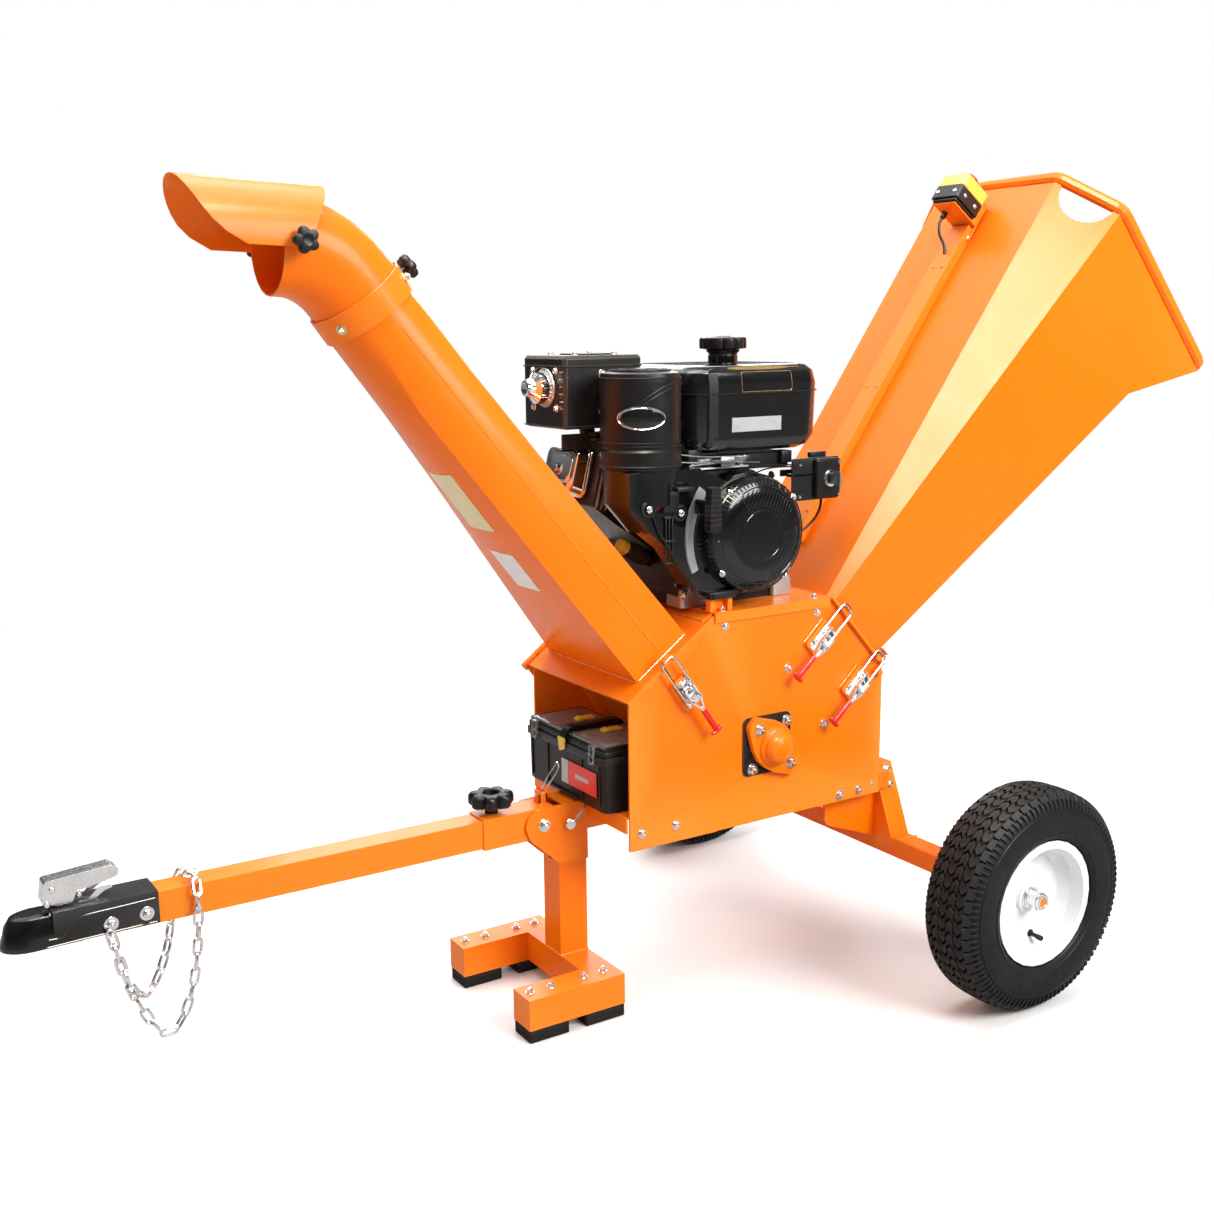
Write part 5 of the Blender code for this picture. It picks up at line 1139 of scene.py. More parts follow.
# pressed steel valve cover: rim, raised field and screw
bm = bmesh.new()
vo, vlo, vhi = span("valve_cover", A)
for w, h, z0, z1, r in ((.052, .036, .0001, .0012, .014), (.040, .024, .0010, .0026, .010)):
    rings = []
    for t, k in ((z0, 1), (z1 - .0006, .985), (z1, .95)):
        pts = rounded([(-w * k, -h * k), (w * k, -h * k), (w * k, h * k), (-w * k, h * k)], r, 5)
        rings.append([vo + A * (vhi + t) + Y * a + Bv * b for a, b in pts])
    loft(rings, bm=bm)
hexbolt(bm, vo + A * (vhi + .0026), A, .0062, .0052, .0110, 0)
piece("valve_cover_press", bm, CHROME, "frame")
# foot castings with bolts
bm = bmesh.new()
for x0, x1, y0, y1, h in ((-.4690, -.4180, -.1060, -.0560, .0100), (-.4150, -.3560, -.1040, -.0640, .0080), (-.2620, -.2135, -.1040, -.0600, .0100),
                          (-.4690, -.4180, .0900, .1380, .0100), (-.2620, -.2135, .0900, .1380, .0100)):
    slab((x0 + x1) / 2, (y0 + y1) / 2, (x1 - x0) / 2, (y1 - y0) / 2, .007, [(.7117, .0008), (.7125, 0), (.7356 + h - .002, .0012), (.7356 + h, .0035)],
         4, bm=bm)
boxm(-.4200, -.3500, -.1010, -.0950, .7117, .7470, .0020, bm=bm)
for x in (-.4080, -.3860, -.3640):
    boxm(x, x + .0030, -.1050, -.0940, .7117, .7520, .0008, bm=bm)
sweep(smooth_path([(-.470, -.088, .752), (-.440, -.099, .760), (-.400, -.100, .768), (-.360, -.099, .758)], 6), .0040, 10, bm=bm)
piece("foot_castings", bm, ALLOY, "frame")
bm = bmesh.new()
for x, y in ((-.4560, -.0900), (-.4300, -.0720), (-.3800, -.0860), (-.2400, -.0820), (-.4440, .1140), (-.2400, .1140)):
    hexbolt(bm, V((x, y, .7456)), Z, .0062, .0056, .0092, .0030)
for x, z in ((-.4620, .7360), (-.3650, .7300)):
    hexbolt(bm, V((x, -.1050, z)), -Y, .0052, .0044, .0072, .001)
piece("engine_foot_bolts", bm, ZINC, "frame")
# oil filler neck rings
bm = bmesh.new()
a, b = V((-.4600, -.005, .7825)), V((-.5165, -.005, .8115))
for k in range(9):
    t = .40 + k * .062
    c = a.lerp(b, t)
    lathe([(.0148, -.0010), (.0172, -.0007), (.0172, .0007), (.0148, .0010)], c, b - a, 28, closed=True, bm=bm)
piece("filler_neck_rings", bm, HEATBLACK, "frame")
# crankcase cover bolts seen under the shroud
bm = bmesh.new()
for x, z in ((-.2280, .930), (-.2280, .860), (-.2290, .780)):
    hexbolt(bm, V((x - .0045, .030, z)), X, .0056, .0046, .0080, 0)
    hexbolt(bm, V((x - .0045, -.060, z)), X, .0056, .0046, .0080, 0)
piece("crankcase_bolts", bm, ZINC, "frame")

# recoil cover: rolled rims, louvres, radial cooling slots
FC = CRANK
bm = bmesh.new()
for r0, t in ((.0985, .0016), (.0855, .0012), (.0440, .0011)):
    pts = []
    for k in range(96):
        ang = 2 * math.pi * k / 96
        p, n = PB(FC.x + r0 * math.cos(ang), FC.z + r0 * math.sin(ang))
        if p:
            pts.append(p)
    if len(pts) == 96:
        sweep(pts, t, 8, closed=True, bm=bm)
for k in range(72):
    ang = 2 * math.pi * (k + .5) / 72
    if 150 < math.degrees(ang) < 178 or (k % 2 and not 70 < math.degrees(ang) < 250):
        continue
    ring = []
    for r0 in (.0885, .0925, .0965, .1000, .1030):
        p, n = PB(FC.x + r0 * math.cos(ang), FC.z + r0 * math.sin(ang))
        if p:
            ring.append(p)
    if len(ring) == 5:
        sweep(ring, .0014, 6, bm=bm, up=(0, -1, 0))
for k in range(-11, 12):
    off = k * .0072
    d = V((.52, 0, .854))
    q = V((.854, 0, -.52))
    seg = []
    for m in range(40):
        t = -.085 + .170 * m / 39
        x, z = FC.x + d.x * t + q.x * off, FC.z + d.z * t + q.z * off
        rr = math.hypot(x - FC.x, z - FC.z)
        ang = math.degrees(math.atan2(z - FC.z, x - FC.x))
        ok = .0470 < rr < .0835 and (28 < ang < 128 or -78 < ang < 8)
        if ok:
            p, n = PB(x, z)
            seg.append(p)
        if (not ok or m == 39) and len(seg) > 2:
            sweep(seg, .0013, 6, bm=bm, up=(0, -1, 0))
            seg = []
        elif not ok:
            seg = []
piece("recoil_louvres", bm, GLOSSBLACK, "frame")
bm = bmesh.new()
for ang in (38, 128, 218, 308):
    x, z = FC.x + .0990 * math.cos(R(ang)), FC.z + .0990 * math.sin(R(ang))
    p, n = PB(x, z)
    if p:
        hexbolt(bm, V((p.x, min(p.y, -.153), p.z)), -Y, .0046, .0040, .0066, 0)
bosses = []
for x, z in ((-.5680, .9010), (-.5020, .8900)):
    p, n = PB(x, z)
    if p:
        lathe([(0, .0030), (.0064, .0030), (.0064, .0062), (.0046, .0078), (.0030, .0082), (.0026, .0070), (0, .0070)], p, -Y, 26, bm=bm)
        bosses.append(p)
piece("cover_screws", bm, ZINC, "frame")
bm = bmesh.new()
for p in bosses:
    lathe([(0, -.004), (.0150, -.004), (.0150, .0004), (.0138, .0022), (.0098, .0030), (.0090, .0016), (.0068, .0014), (.0068, .0034), (0, .0034)], p, -Y, 32, bm=bm)
piece("shroud_bosses", bm, BLACK, "frame")
# silver sweep on the shroud, left of the starter
rings = []
for k in range(25):
    ang = R(141 + 64 * k / 24)
    w = .0105 * (1 - .25 * k / 24)
    ring = []
    for rr, dy in ((.1330 - w, 0), (.1330 - w + .0012, -.0024), (.1330, -.0032), (.1330 + w - .0012, -.0024), (.1330 + w, 0)):
        x, z = FC.x + rr * math.cos(ang), FC.z + rr * math.sin(ang)
        ring.append(V((x, -.1502 + dy, z)))
    rings.append(ring + [V((FC.x + .1330 * math.cos(ang), -.1490, FC.z + .1330 * math.sin(ang)))])
bm = loft(rings)
piece("shroud_silver_sweep", bm, GREY, "frame")
# shroud grille and rope guide
bm = bmesh.new()
for x in (-.5330, -.5265, -.5200):
    boxm(x - .0014, x + .0014, -.1545, -.1495, .8080, .8820, .0008, bm=bm)
for z in (.8060, .8440, .8840):
    boxm(-.5370, -.5160, -.1555, -.1495, z - .0020, z + .0020, .0008, bm=bm)
boxm(-.5130, -.4780, -.1600, -.1490, .9260, .9340, .0020, bm=bm)
boxm(-.5400, -.5080, -.1580, -.1490, .8920, .9280, .0030, 3, bm=bm)
lathe([(.0030, 0), (.0085, 0), (.0090, .001), (.0080, .0090), (.0050, .0110), (.0030, .0112)], V((-.4655, -.1500, .8970)), -Y, 28, closed=True, bm=bm)
piece("shroud_grille", bm, BLACK, "frame")
bm = bmesh.new()
gl, gh = box_of("pull_handle")
for k in range(7):
    z = gl.z + (gh.z - gl.z) * (.18 + .64 * k / 6)
    gx, gy, gw, gd = (gl.x + gh.x) / 2, (gl.y + gh.y) / 2, (gh.x - gl.x) / 2, (gh.y - gl.y) / 2
    pts = [V((gx + (gw + .0006) * math.cos(2 * math.pi * m / 24), gy + (gd + .0006) * math.sin(2 * math.pi * m / 24), z)) for m in range(24)]
    pts2 = []
    for p in pts:
        dvec = V((p.x - gx, p.y - gy, 0))
        h, n = hit("pull_handle", V((gx, gy, z)) + dvec.normalized() * .05, -dvec.normalized())
        if h:
            pts2.append(h)
    if len(pts2) == 24:
        sweep(pts2, .0008, 6, closed=True, bm=bm)
if len(bm.verts):
    piece("grip_ribs", bm, RUBBER, "starter_grip")
else:
    bm.free()

# starter cord: drawn out of the recoil cover behind the grip
bm = bmesh.new()
kx, kz = (gl.x + gh.x) / 2, (gl.z + gh.z) / 2
lathe([(0, -.024)] + [(.0021, -.024 + .022 * k / 12) for k in range(13)] + [(0, -.0015)], V((kx, gh.y - .007, kz)), -Y, 12, bm=bm)
lo_y, hi_y = min(v.co.y for v in bm.verts), max(v.co.y for v in bm.verts)
bmesh.ops.translate(bm, vec=(0, (gh.y - .006) - lo_y, 0), verts=bm.verts)
bmesh.ops.recalc_face_normals(bm, faces=bm.faces)
bmesh.ops.translate(bm, vec=UNDER_AXLE, verts=bm.verts)
me = bpy.data.meshes.new("starter_cord")
bm.to_mesh(me)
bm.free()
me.shade_smooth()
me.materials.append(BLACK)
cord = bpy.data.objects.new("starter_cord", me)
COLL.objects.link(cord)
cs = V((kx, gh.y + .012, kz)) + UNDER_AXLE
ce = V((kx, gh.y - .002, kz)) + UNDER_AXLE
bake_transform(cord)

# air cleaner tower: joint band, shoulder sweep, ribbed cap, blank oval badge
alo, ahi = box_of("air_cleaner")
ac = V(((alo.x + ahi.x) / 2, (alo.y + ahi.y) / 2, 0))
ar = (ahi.x - alo.x) / 2
bm = bmesh.new()


def tower(z, dr=0., n=72, a0=0., a1=2 * math.pi, closed=True):
    pts = []
    for k in range(n if closed else n + 1):
        a = a0 + (a1 - a0) * k / n
        d = V((math.cos(a), math.sin(a), 0))
        p, nn = hit("air_cleaner", V((ac.x, ac.y, z)) + d * .2, -d)
        if p is None:
            return None
        pts.append(p + d * dr)
    return pts


for z, t in ((alo.z + .006, .0022), (alo.z + .040, .0018), (alo.z + .046, .0012), (ahi.z - .012, .0014)):
    pts = tower(z)
    if pts:
        sweep(pts, t, 8, closed=True, bm=bm)
for dz, r0 in ((0, 0), (.008, .0)):
    pts = []
    for k in range(30):
        a = R(-140 + 105 * k / 29)
        z = ahi.z - .016 - dz - .052 * (1 - math.sin(math.pi * .5 * k / 29)) ** 1.4
        d = V((math.cos(a), math.sin(a), 0))
        p, nn = hit("air_cleaner", V((ac.x, ac.y, z)) + d * .2, -d)
        if p:
            pts.append(p)
    if len(pts) > 10:
        sweep(pts, .0013, 8, bm=bm)
top = ahi.z
for r0, h in ((.050, .0020), (.034, .0026)):
    lathe([(r0 - .0030, -.002), (r0 - .0024, h), (r0 + .0024, h), (r0 + .0030, -.002)], V((ac.x, ac.y, top)), Z, 56, closed=True, bm=bm)
for k in range(6):
    a = math.pi * k / 3 + .3
    d = V((math.cos(a), math.sin(a), 0))
    rod(V((ac.x, ac.y, top + .0002)) + d * .012, V((ac.x, ac.y, top + .0002)) + d * .048, .0016, 8, bm)
lathe([(0, 0), (.0110, 0), (.0100, .0030), (.0040, .0042), (0, .0042)], V((ac.x, ac.y, top)), Z, 30, bm=bm)
piece("air_cleaner_mouldings", bm, BLACK, "frame")
# shoulder of the shroud below the tower
bm = bmesh.new()
zc = alo.z + .088
gridp = []
for i in range(13):
    row = []
    for j in range(9):
        a = (i / 12 - .5) * .86 - math.pi / 2 + .10
        z = zc + (j / 8 - .5) * .030
        e = (i / 12 * 2 - 1) ** 2 + (j / 8 * 2 - 1) ** 2
        row.append((a, z, e))
    gridp.append(row)
ring_o, ring_i = [], []
for k in range(48):
    q = 2 * math.pi * k / 48
    for lst, s, dr in ((ring_o, 1.0, .0004), (ring_i, .90, .0014)):
        a = -2.13 + .60 * s * math.cos(q)
        z = zc + .0185 * s * math.sin(q)
        d = V((math.cos(a), math.sin(a), 0))
        p, nn = hit("air_cleaner", V((ac.x, ac.y, z)) + d * .2, -d)
        lst.append((p if p else V((ac.x, ac.y, z)) + d * ar) + d * dr)
fan = [bm.verts.new(p) for p in ring_o]
fin = [bm.verts.new(p) for p in ring_i]
und = [bm.verts.new(p - (p - V((ac.x, ac.y, p.z))).normalized() * .0012) for p in ring_o]
for k in range(48):
    j = (k + 1) % 48
    bm.faces.new((und[k], und[j], fan[j], fan[k]))
    bm.faces.new((fan[k], fan[j], fin[j], fin[k]))
# field of the badge follows the tower's curve
cols = []
for k in range(0, 25):
    cols.append((fin[k], fin[(48 - k) % 48]))
for (a1_, b1_), (a2_, b2_) in zip(cols, cols[1:]):
    vs = []
    for v in (a1_, a2_, b2_, b1_):
        if v not in vs:
            vs.append(v)
    if len(vs) > 2:
        bm.faces.new(vs)
bm.faces.new(list(reversed(und)))
piece("blank_badge", bm, GLOSSBLACK, "frame")
bm = sweep([p + (p - V((ac.x, ac.y, p.z))).normalized() * .0006 for p in ring_o], .0011, 8, closed=True)
sweep([p + (p - V((ac.x, ac.y, p.z))).normalized() * .0004 for p in ring_i[2:46]], .0005, 6, bm=bm)
piece("badge_ring", bm, CHROME, "frame")

# muffler: guard, cone outlet, slots, seam, screws
mlo, mhi = box_of("muffler")
mx = -.650
mo = V((mx, .045, 1.100))
p, n = hit("muffler", (-1, -.010, 1.07), (1, 0, 0))
mx = p.x if p else mx
mo.x = mx
bm = bmesh.new()
lathe([(.0215, -.001), (.0330, -.001), (.0340, .0008), (.0330, .0030), (.0240, .0046), (.0215, .0040)], mo, -X, 48, closed=True, bm=bm)
for k in range(24):
    a = 2 * math.pi * k / 24
    c = mo + V((-.0036, .0282 * math.cos(a), .0282 * math.sin(a)))
    lathe([(0, 0), (.0020, 0), (.0012, .0012), (0, .0014)], c, -X, 10, bm=bm)
piece("outlet_guard", bm, ALLOY, "frame")
def stub_r(dx):
    p, n = hit("muffler", (mx - dx, mo.y, 1.5), (0, 0, -1))
    return (p.z - mo.z + .0009) if p and p.z - mo.z < .05 else 0.


cone = [(max(r, stub_r(h)), h) for r, h in ((.0245, .0030), (.0245, .0080), (.0225, .0140), (.0195, .0210), (.0165, .0280), (.0140, .0350))]
tip = mx - mlo.x
bm = lathe([(0, .0020)] + cone + [(max(.0125, stub_r(tip - .0010)), tip + .0004), (.0105, tip + .0016), (.0085, tip + .0010), (0, tip + .0008)], mo, -X, 48)
for k in range(10):
    a = 2 * math.pi * k / 10
    d = V((0, math.cos(a), math.sin(a)))
    sweep([mo + d * (r + .0002) - X * h for r, h in cone[1:]], .0010, 6, bm=bm)
piece("exhaust_cone", bm, CHROME, "frame")
bm = bmesh.new()
for y, z in ((.006, 1.130), (.084, 1.130), (.006, 1.066), (.084, 1.066)):
    hexbolt(bm, V((mx, y, z)), -X, .0046, .0038, .0066, 0)
for x, z in ((-.574, 1.123), (-.520, 1.123), (-.574, 1.060)):
    p, n = near("muffler", x, z)
    if p:
        hexbolt(bm, p, n, .0052, .0046, .0078, 0)
for x, y in ((-.610, .010), (-.610, .092), (-.530, .010), (-.530, .092)):
    p, n = hit("muffler", (x, y, 2), (0, 0, -1))
    if p:
        hexbolt(bm, p, Z, .0044, .0036, .0062, 0)
piece("muffler_screws", bm, ZINC, "frame")
bm = bmesh.new()
for k in range(6):
    z = 1.064 + k * .0125
    boxm(mx - .0006, mx + .001, -.0145, -.0035, z, z + .0022, .0003, 1, bm=bm)
piece("muffler_slots", bm, GOLD, "frame")
bm = bmesh.new()
zc = (mlo.z + mhi.z) / 2
for zz in (mlo.z + .018, mhi.z - .020):
    slab((-.650 - .490) / 2, (-.020 + .123) / 2, .0806, .0721, .008, [(zz, .0006), (zz + .0012, -.0012), (zz + .0030, -.0012), (zz + .0042, .0006)], 5, bm=bm)
boxm(-.6000, -.5300, .0100, .0800, mhi.z - .0006, mhi.z + .0028, .0020, 3, bm=bm)
piece("muffler_bands", bm, HEATBLACK, "frame")

# exhaust elbow and stay between the silencer and the head
bm = bmesh.new()
sweep(smooth_path([(-.5560, .0300, 1.0200), (-.5560, .0300, 1.0020), (-.5540, .0310, .9900), (-.5440, .0330, .9780), (-.5300, .0350, .9740)], 8), .0165, 24, bm=bm)
lathe([(0, -.0030), (.0240, -.0030), (.0252, -.0020), (.0252, .0020), (.0240, .0030), (0, .0030)], V((-.5560, .0300, 1.0090)), Z, 36, bm=bm)
boxm(-.6350, -.5800, .0150, .0190, .9900, 1.0200, .0008, 1, bm=bm)
boxm(-.6350, -.5800, .0150, .0400, .9900, .9935, .0008, 1, bm=bm)
boxm(-.5250, -.4950, .0150, .0800, .9850, 1.0180, .0030, 2, bm=bm)
piece("exhaust_elbow", bm, HEATBLACK, "frame")

# tank: seam flange, strap, pinstripe, blank plates
tlo, thi = box_of("fuel_tank")
tcx, tcy = (tlo.x + thi.x) / 2, (tlo.y + thi.y) / 2
thx, thy = (thi.x - tlo.x) / 2, (thi.y - tlo.y) / 2
zs = tlo.z + .62 * (thi.z - tlo.z)


def tank_ring(z, dr=0., n=120):
    pts = []
    for k in range(n):
        a = 2 * math.pi * k / n
        d = V((math.cos(a), math.sin(a), 0))
        p, nn = hit("fuel_tank", V((tcx, tcy, z)) + d * .5, -d)
        if p is None:
            return None
        pts.append(p + d * dr)
    return pts


ro = tank_ring(zs, .0034)
ri = tank_ring(zs, -.0020)
if ro and ri:
    bm = bmesh.new()
    rows = []
    for ring, dz in ((ri, -.0012), (ro, -.0012), (ro, .0012), (ri, .0012)):
        rows.append([bm.verts.new(p + Z * dz) for p in ring])
    for a, b in zip(rows, rows[1:] + rows[:1]):
        for i in range(len(a)):
            j = (i + 1) % len(a)
            bm.faces.new((a[i], a[j], b[j], b[i]))
    piece("tank_seam", bm, GLOSSBLACK, "frame")
bm = bmesh.new()
for x0, x1 in ((-.4250, -.3990),):
    ring = []
    rows = []
    pathp = []
    for z in (tlo.z + .012, tlo.z + .030, tlo.z + .060, tlo.z + .090, thi.z - .045, thi.z - .028):
        p, n = near("fuel_tank", (x0 + x1) / 2, z)
        if p:
            pathp.append(p)
    rings = []
    for p in pathp:
        rings.append([p + V((-.011, .0010, 0)), p + V((-.0095, -.0022, 0)), p + V((.0095, -.0022, 0)), p + V((.011, .0010, 0))])
    if len(rings) > 2:
        loft(rings, bm=bm)
piece("tank_rib", bm, BLACK, "frame")
bm = bmesh.new()
pts = []
for k in range(22):
    x = -.376 + .160 * k / 21
    p, n = hit("fuel_tank", V((x, -.40, thi.z + .26)), V((0, 1, -.98)))
    if p:
        pts.append((p, n))
if len(pts) > 8:
    rings = []
    for i, (p, n) in enumerate(pts):
        f = i / (len(pts) - 1)
        w = .0010 + .0040 * math.sin(math.pi * min(1, f * 1.15)) ** .7
        t = V((1, 0, 0))
        b = n.cross(t).normalized()
        rings.append([p - b * w - n * .0008, p - b * w * .8 + n * .0005, p + b * w * .8 + n * .0005, p + b * w - n * .0008])
    loft(rings, bm=bm)
def tank_face(x, z, dr=0.):
    p, n = near("fuel_tank", x, z)
    return p + n * dr


def outline(x0, x1, z0, z1, r, t, bm):
    q = rounded([(x0, z0), (x1, z0), (x1, z1), (x0, z1)], r, 4)
    path = []
    for (a0, b0), (a1, b1) in zip(q, q[1:] + q[:1]):
        for k in range(4):
            path.append(tank_face(a0 + (a1 - a0) * k / 4, b0 + (b1 - b0) * k / 4))
    return sweep(path, t, 6, closed=True, bm=bm)


outline(-.3510, -.2390, zs + .0020 if zs > 1.055 else 1.062, thi.z - .0270, .004, .0006, bm)
piece("tank_pinstripe", bm, GOLD, "frame")
bm = bmesh.new()
gx = [-.372 + .110 * i / 20 for i in range(21)]
gz = [1.0190 + .0250 * j / 4 for j in range(5)]
top_v = [[bm.verts.new(tank_face(x, z, .0007)) for z in gz] for x in gx]
bot_v = [[bm.verts.new(tank_face(x, z, -.0006)) for z in gz] for x in gx]
for i in range(20):
    for j in range(4):
        bm.faces.new((top_v[i][j], top_v[i + 1][j], top_v[i + 1][j + 1], top_v[i][j + 1]))
        bm.faces.new((bot_v[i][j], bot_v[i][j + 1], bot_v[i + 1][j + 1], bot_v[i + 1][j]))
for i in range(20):
    for j in (0, 4):
        bm.faces.new((top_v[i][j], top_v[i + 1][j], bot_v[i + 1][j], bot_v[i][j]))
for j in range(4):
    for i in (0, 20):
        bm.faces.new((top_v[i][j], top_v[i][j + 1], bot_v[i][j + 1], bot_v[i][j]))
piece("blank_plate", bm, LABEL, "frame")
bm = bmesh.new()
clo, chi = box_of("fuel_cap")
cc = V(((clo.x + chi.x) / 2, (clo.y + chi.y) / 2, 0))
for k, z in enumerate((thi.z + .001, thi.z + .005, thi.z + .009)):
    lathe([(.0200, 0), (.0262 - .0012 * k, 0), (.0266 - .0012 * k, .0008), (.0262 - .0012 * k, .0022), (.0200, .0022)], V((cc.x, cc.y, z)), Z, 40,
          closed=True, bm=bm)
piece("tank_neck_rings", bm, BLACK, "frame")
cr = (chi.x - clo.x) / 2
NC = 120


def cap_ring(r, z, lobe=0.):
    return [V((cc.x + r * (1 + lobe * (abs(math.cos(5 * 2 * math.pi * i / NC)) ** .5 - 1)) * math.cos(2 * math.pi * i / NC),
               cc.y + r * (1 + lobe * (abs(math.cos(5 * 2 * math.pi * i / NC)) ** .5 - 1)) * math.sin(2 * math.pi * i / NC), z)) for i in range(NC)]


zt = chi.z
bm = loft([cap_ring(.0255, clo.z), cap_ring(.0270, clo.z + .0040), cap_ring(.0290, zt - .0290), cap_ring(.0305, zt - .0262), cap_ring(.0300, zt - .0240),
           cap_ring(.0350, zt - .0232, .03), cap_ring(cr * .975, zt - .0225, .09), cap_ring(cr, zt - .0205, .10), cap_ring(cr, zt - .0065, .10),
           cap_ring(cr * .985, zt - .0040, .09), cap_ring(cr * .93, zt - .0024, .05), cap_ring(cr * .70, zt - .0012), cap_ring(cr * .66, zt - .0020),
           cap_ring(cr * .34, zt - .0016), cap_ring(cr * .30, zt), cap_ring(cr * .10, zt)])
piece("cap_crown", bm, BLACK, "tank_cap", hide=("fuel_cap",))

# carburettor, governor links and springs between tower and tank
bm = bmesh.new()
boxm(-.5020, -.4300, -.0800, -.0250, .9560, 1.0020, .0040, 3, bm=bm)
boxm(-.4300, -.2160, -.0900, -.0200, .9480, .9760, .0030, 2, bm=bm)
boxm(-.4480, -.4180, -.1000, -.0800, .9520, .9900, .0020, 2, bm=bm)
boxm(-.3700, -.3300, -.1020, -.0900, .9520, .9740, .0020, 2, bm=bm)
boxm(-.2400, -.2160, -.1000, -.0700, .9560, .9780, .0020, 2, bm=bm)
lathe([(0, -.020), (.0120, -.020), (.0135, -.017), (.0135, .016), (.0120, .020), (0, .020)], V((-.3960, -.0950, .9640)), X, 24, bm=bm)
piece("carburettor_body", bm, BLACK, "frame")
bm = bmesh.new()
lathe([(0, -.030), (.0160, -.030), (.0190, -.026), (.0200, -.004), (.0215, -.003), (.0215, .001), (0, .001)], V((-.4760, -.0660, .9700)), Z, 36, bm=bm)
boxm(-.4550, -.3300, -.1180, -.0960, .9560, .9590, .0008, bm=bm)
boxm(-.4550, -.4510, -.1180, -.0960, .9440, .9590, .0006, bm=bm)
boxm(-.3900, -.3600, -.1180, -.1150, .9590, .9760, .0008, bm=bm)
piece("carburettor", bm, ALLOY, "frame")
bm = bmesh.new()
for p in (((-.5060, -.1080, .9900), (-.4700, -.1120, .9840), (-.4200, -.1130, .9780), (-.3500, -.1110, .9750), (-.3200, -.1060, .9700)),
          ((-.5080, -.1020, .9740), (-.4600, -.1090, .9700), (-.4000, -.1160, .9680), (-.3300, -.1130, .9700)),
          ((-.4600, -.1190, .9640), (-.4300, -.1215, .9660), (-.3700, -.1200, .9660), (-.3000, -.1120, .9620))):
    sweep(smooth_path(p, 8), .0013, 8, bm=bm)
for x0, x1, z in ((-.4380, -.4100, .9720), (-.3560, -.3280, .9740)):
    hel = []
    for k in range(90):
        a = 2 * math.pi * k / 10
        hel.append(V((x0 + (x1 - x0) * k / 89, -.1150 + .0030 * math.cos(a), z + .0030 * math.sin(a))))
    sweep(hel, .0006, 5, bm=bm)
for x, y, z in ((-.4450, -.1070, .9590), (-.3400, -.1070, .9590), (-.3760, -.1070, .9590)):
    hexbolt(bm, (x, y, z), Z, .0046, .0040, .0064, .002)
for x, z in ((-.3750, .9680), (-.4530, .9520)):
    hexbolt(bm, (x, -.1180, z), -Y, .0036, .0030, .0050, 0)
for x, z in ((-.4930, .9950), (-.4720, .9950)):
    hexbolt(bm, (x, -.0850, z), -Y, .0040, .0034, .0056, 0)
piece("governor_links", bm, STEEL, "frame")
bm = bmesh.new()
sweep(smooth_path([(-.1835, -.1040, .9440), (-.2050, -.1060, .9500), (-.2500, -.1080, .9540), (-.2900, -.1100, .9560), (-.3260, -.1100, .9560)], 8), .0014, 8, bm=bm)
sweep(smooth_path([(-.1835, -.1160, .9380), (-.2040, -.1140, .9470), (-.2480, -.1100, .9500), (-.2800, -.1050, .9480), (-.3000, -.0960, .9400)], 8), .0014, 8, bm=bm)
sweep(smooth_path([(-.1500, -.1060, .8880), (-.1520, -.1060, .8700), (-.1600, -.1020, .8500), (-.1800, -.0960, .8300), (-.2050, -.0900, .8200), (-.2320, -.0840, .8180)], 8), .0026, 8, bm=bm)
piece("switch_wires", bm, BLACK, "frame")
# switch box: bezel, screws, lid line
klo, khi = box_of("key_switch_box")
bm = bmesh.new()
kx, kz = (klo.x + khi.x) / 2, (klo.z + khi.z) / 2
lathe([(.0112, -.0010), (.0158, -.0010), (.0160, .0006), (.0150, .0024), (.0112, .0028)], V((-.150, klo.y, .925)), -Y, 40, closed=True, bm=bm)
for x, z in ((klo.x + .007, klo.z + .008), (klo.x + .007, khi.z - .008), (khi.x - .007, klo.z + .008), (khi.x - .007, khi.z - .008)):
    lathe([(0, 0), (.0032, 0), (.0030, .0012), (0, .0016)], V((x, klo.y, z)), -Y, 16, bm=bm)
piece("switch_bezel", bm, CHROME, "frame")
bm = bmesh.new()
pts = rounded([(klo.x - .0008, klo.z - .0008), (khi.x + .0008, klo.z - .0008), (khi.x + .0008, khi.z + .0008), (klo.x - .0008, khi.z + .0008)], .004, 4)
rings = []
for y, k in ((klo.y + .0120, 0), (klo.y + .0125, .0010), (klo.y + .0145, .0010), (klo.y + .0150, 0)):
    c = V((kx, 0, kz))
    rings.append([V((u + math.copysign(k, u - kx), y, v + math.copysign(k, v - kz))) for u, v in pts])
loft(rings, bm=bm)
boxm(-.1720, -.1340, -.1000, -.0900, khi.z - .001, khi.z + .010, .0020, bm=bm)
boxm(-.2350, -.1500, -.0915, -.0880, .9300, .9420, .0010, bm=bm)
piece("switch_box_lid_line", bm, BLACK, "frame")

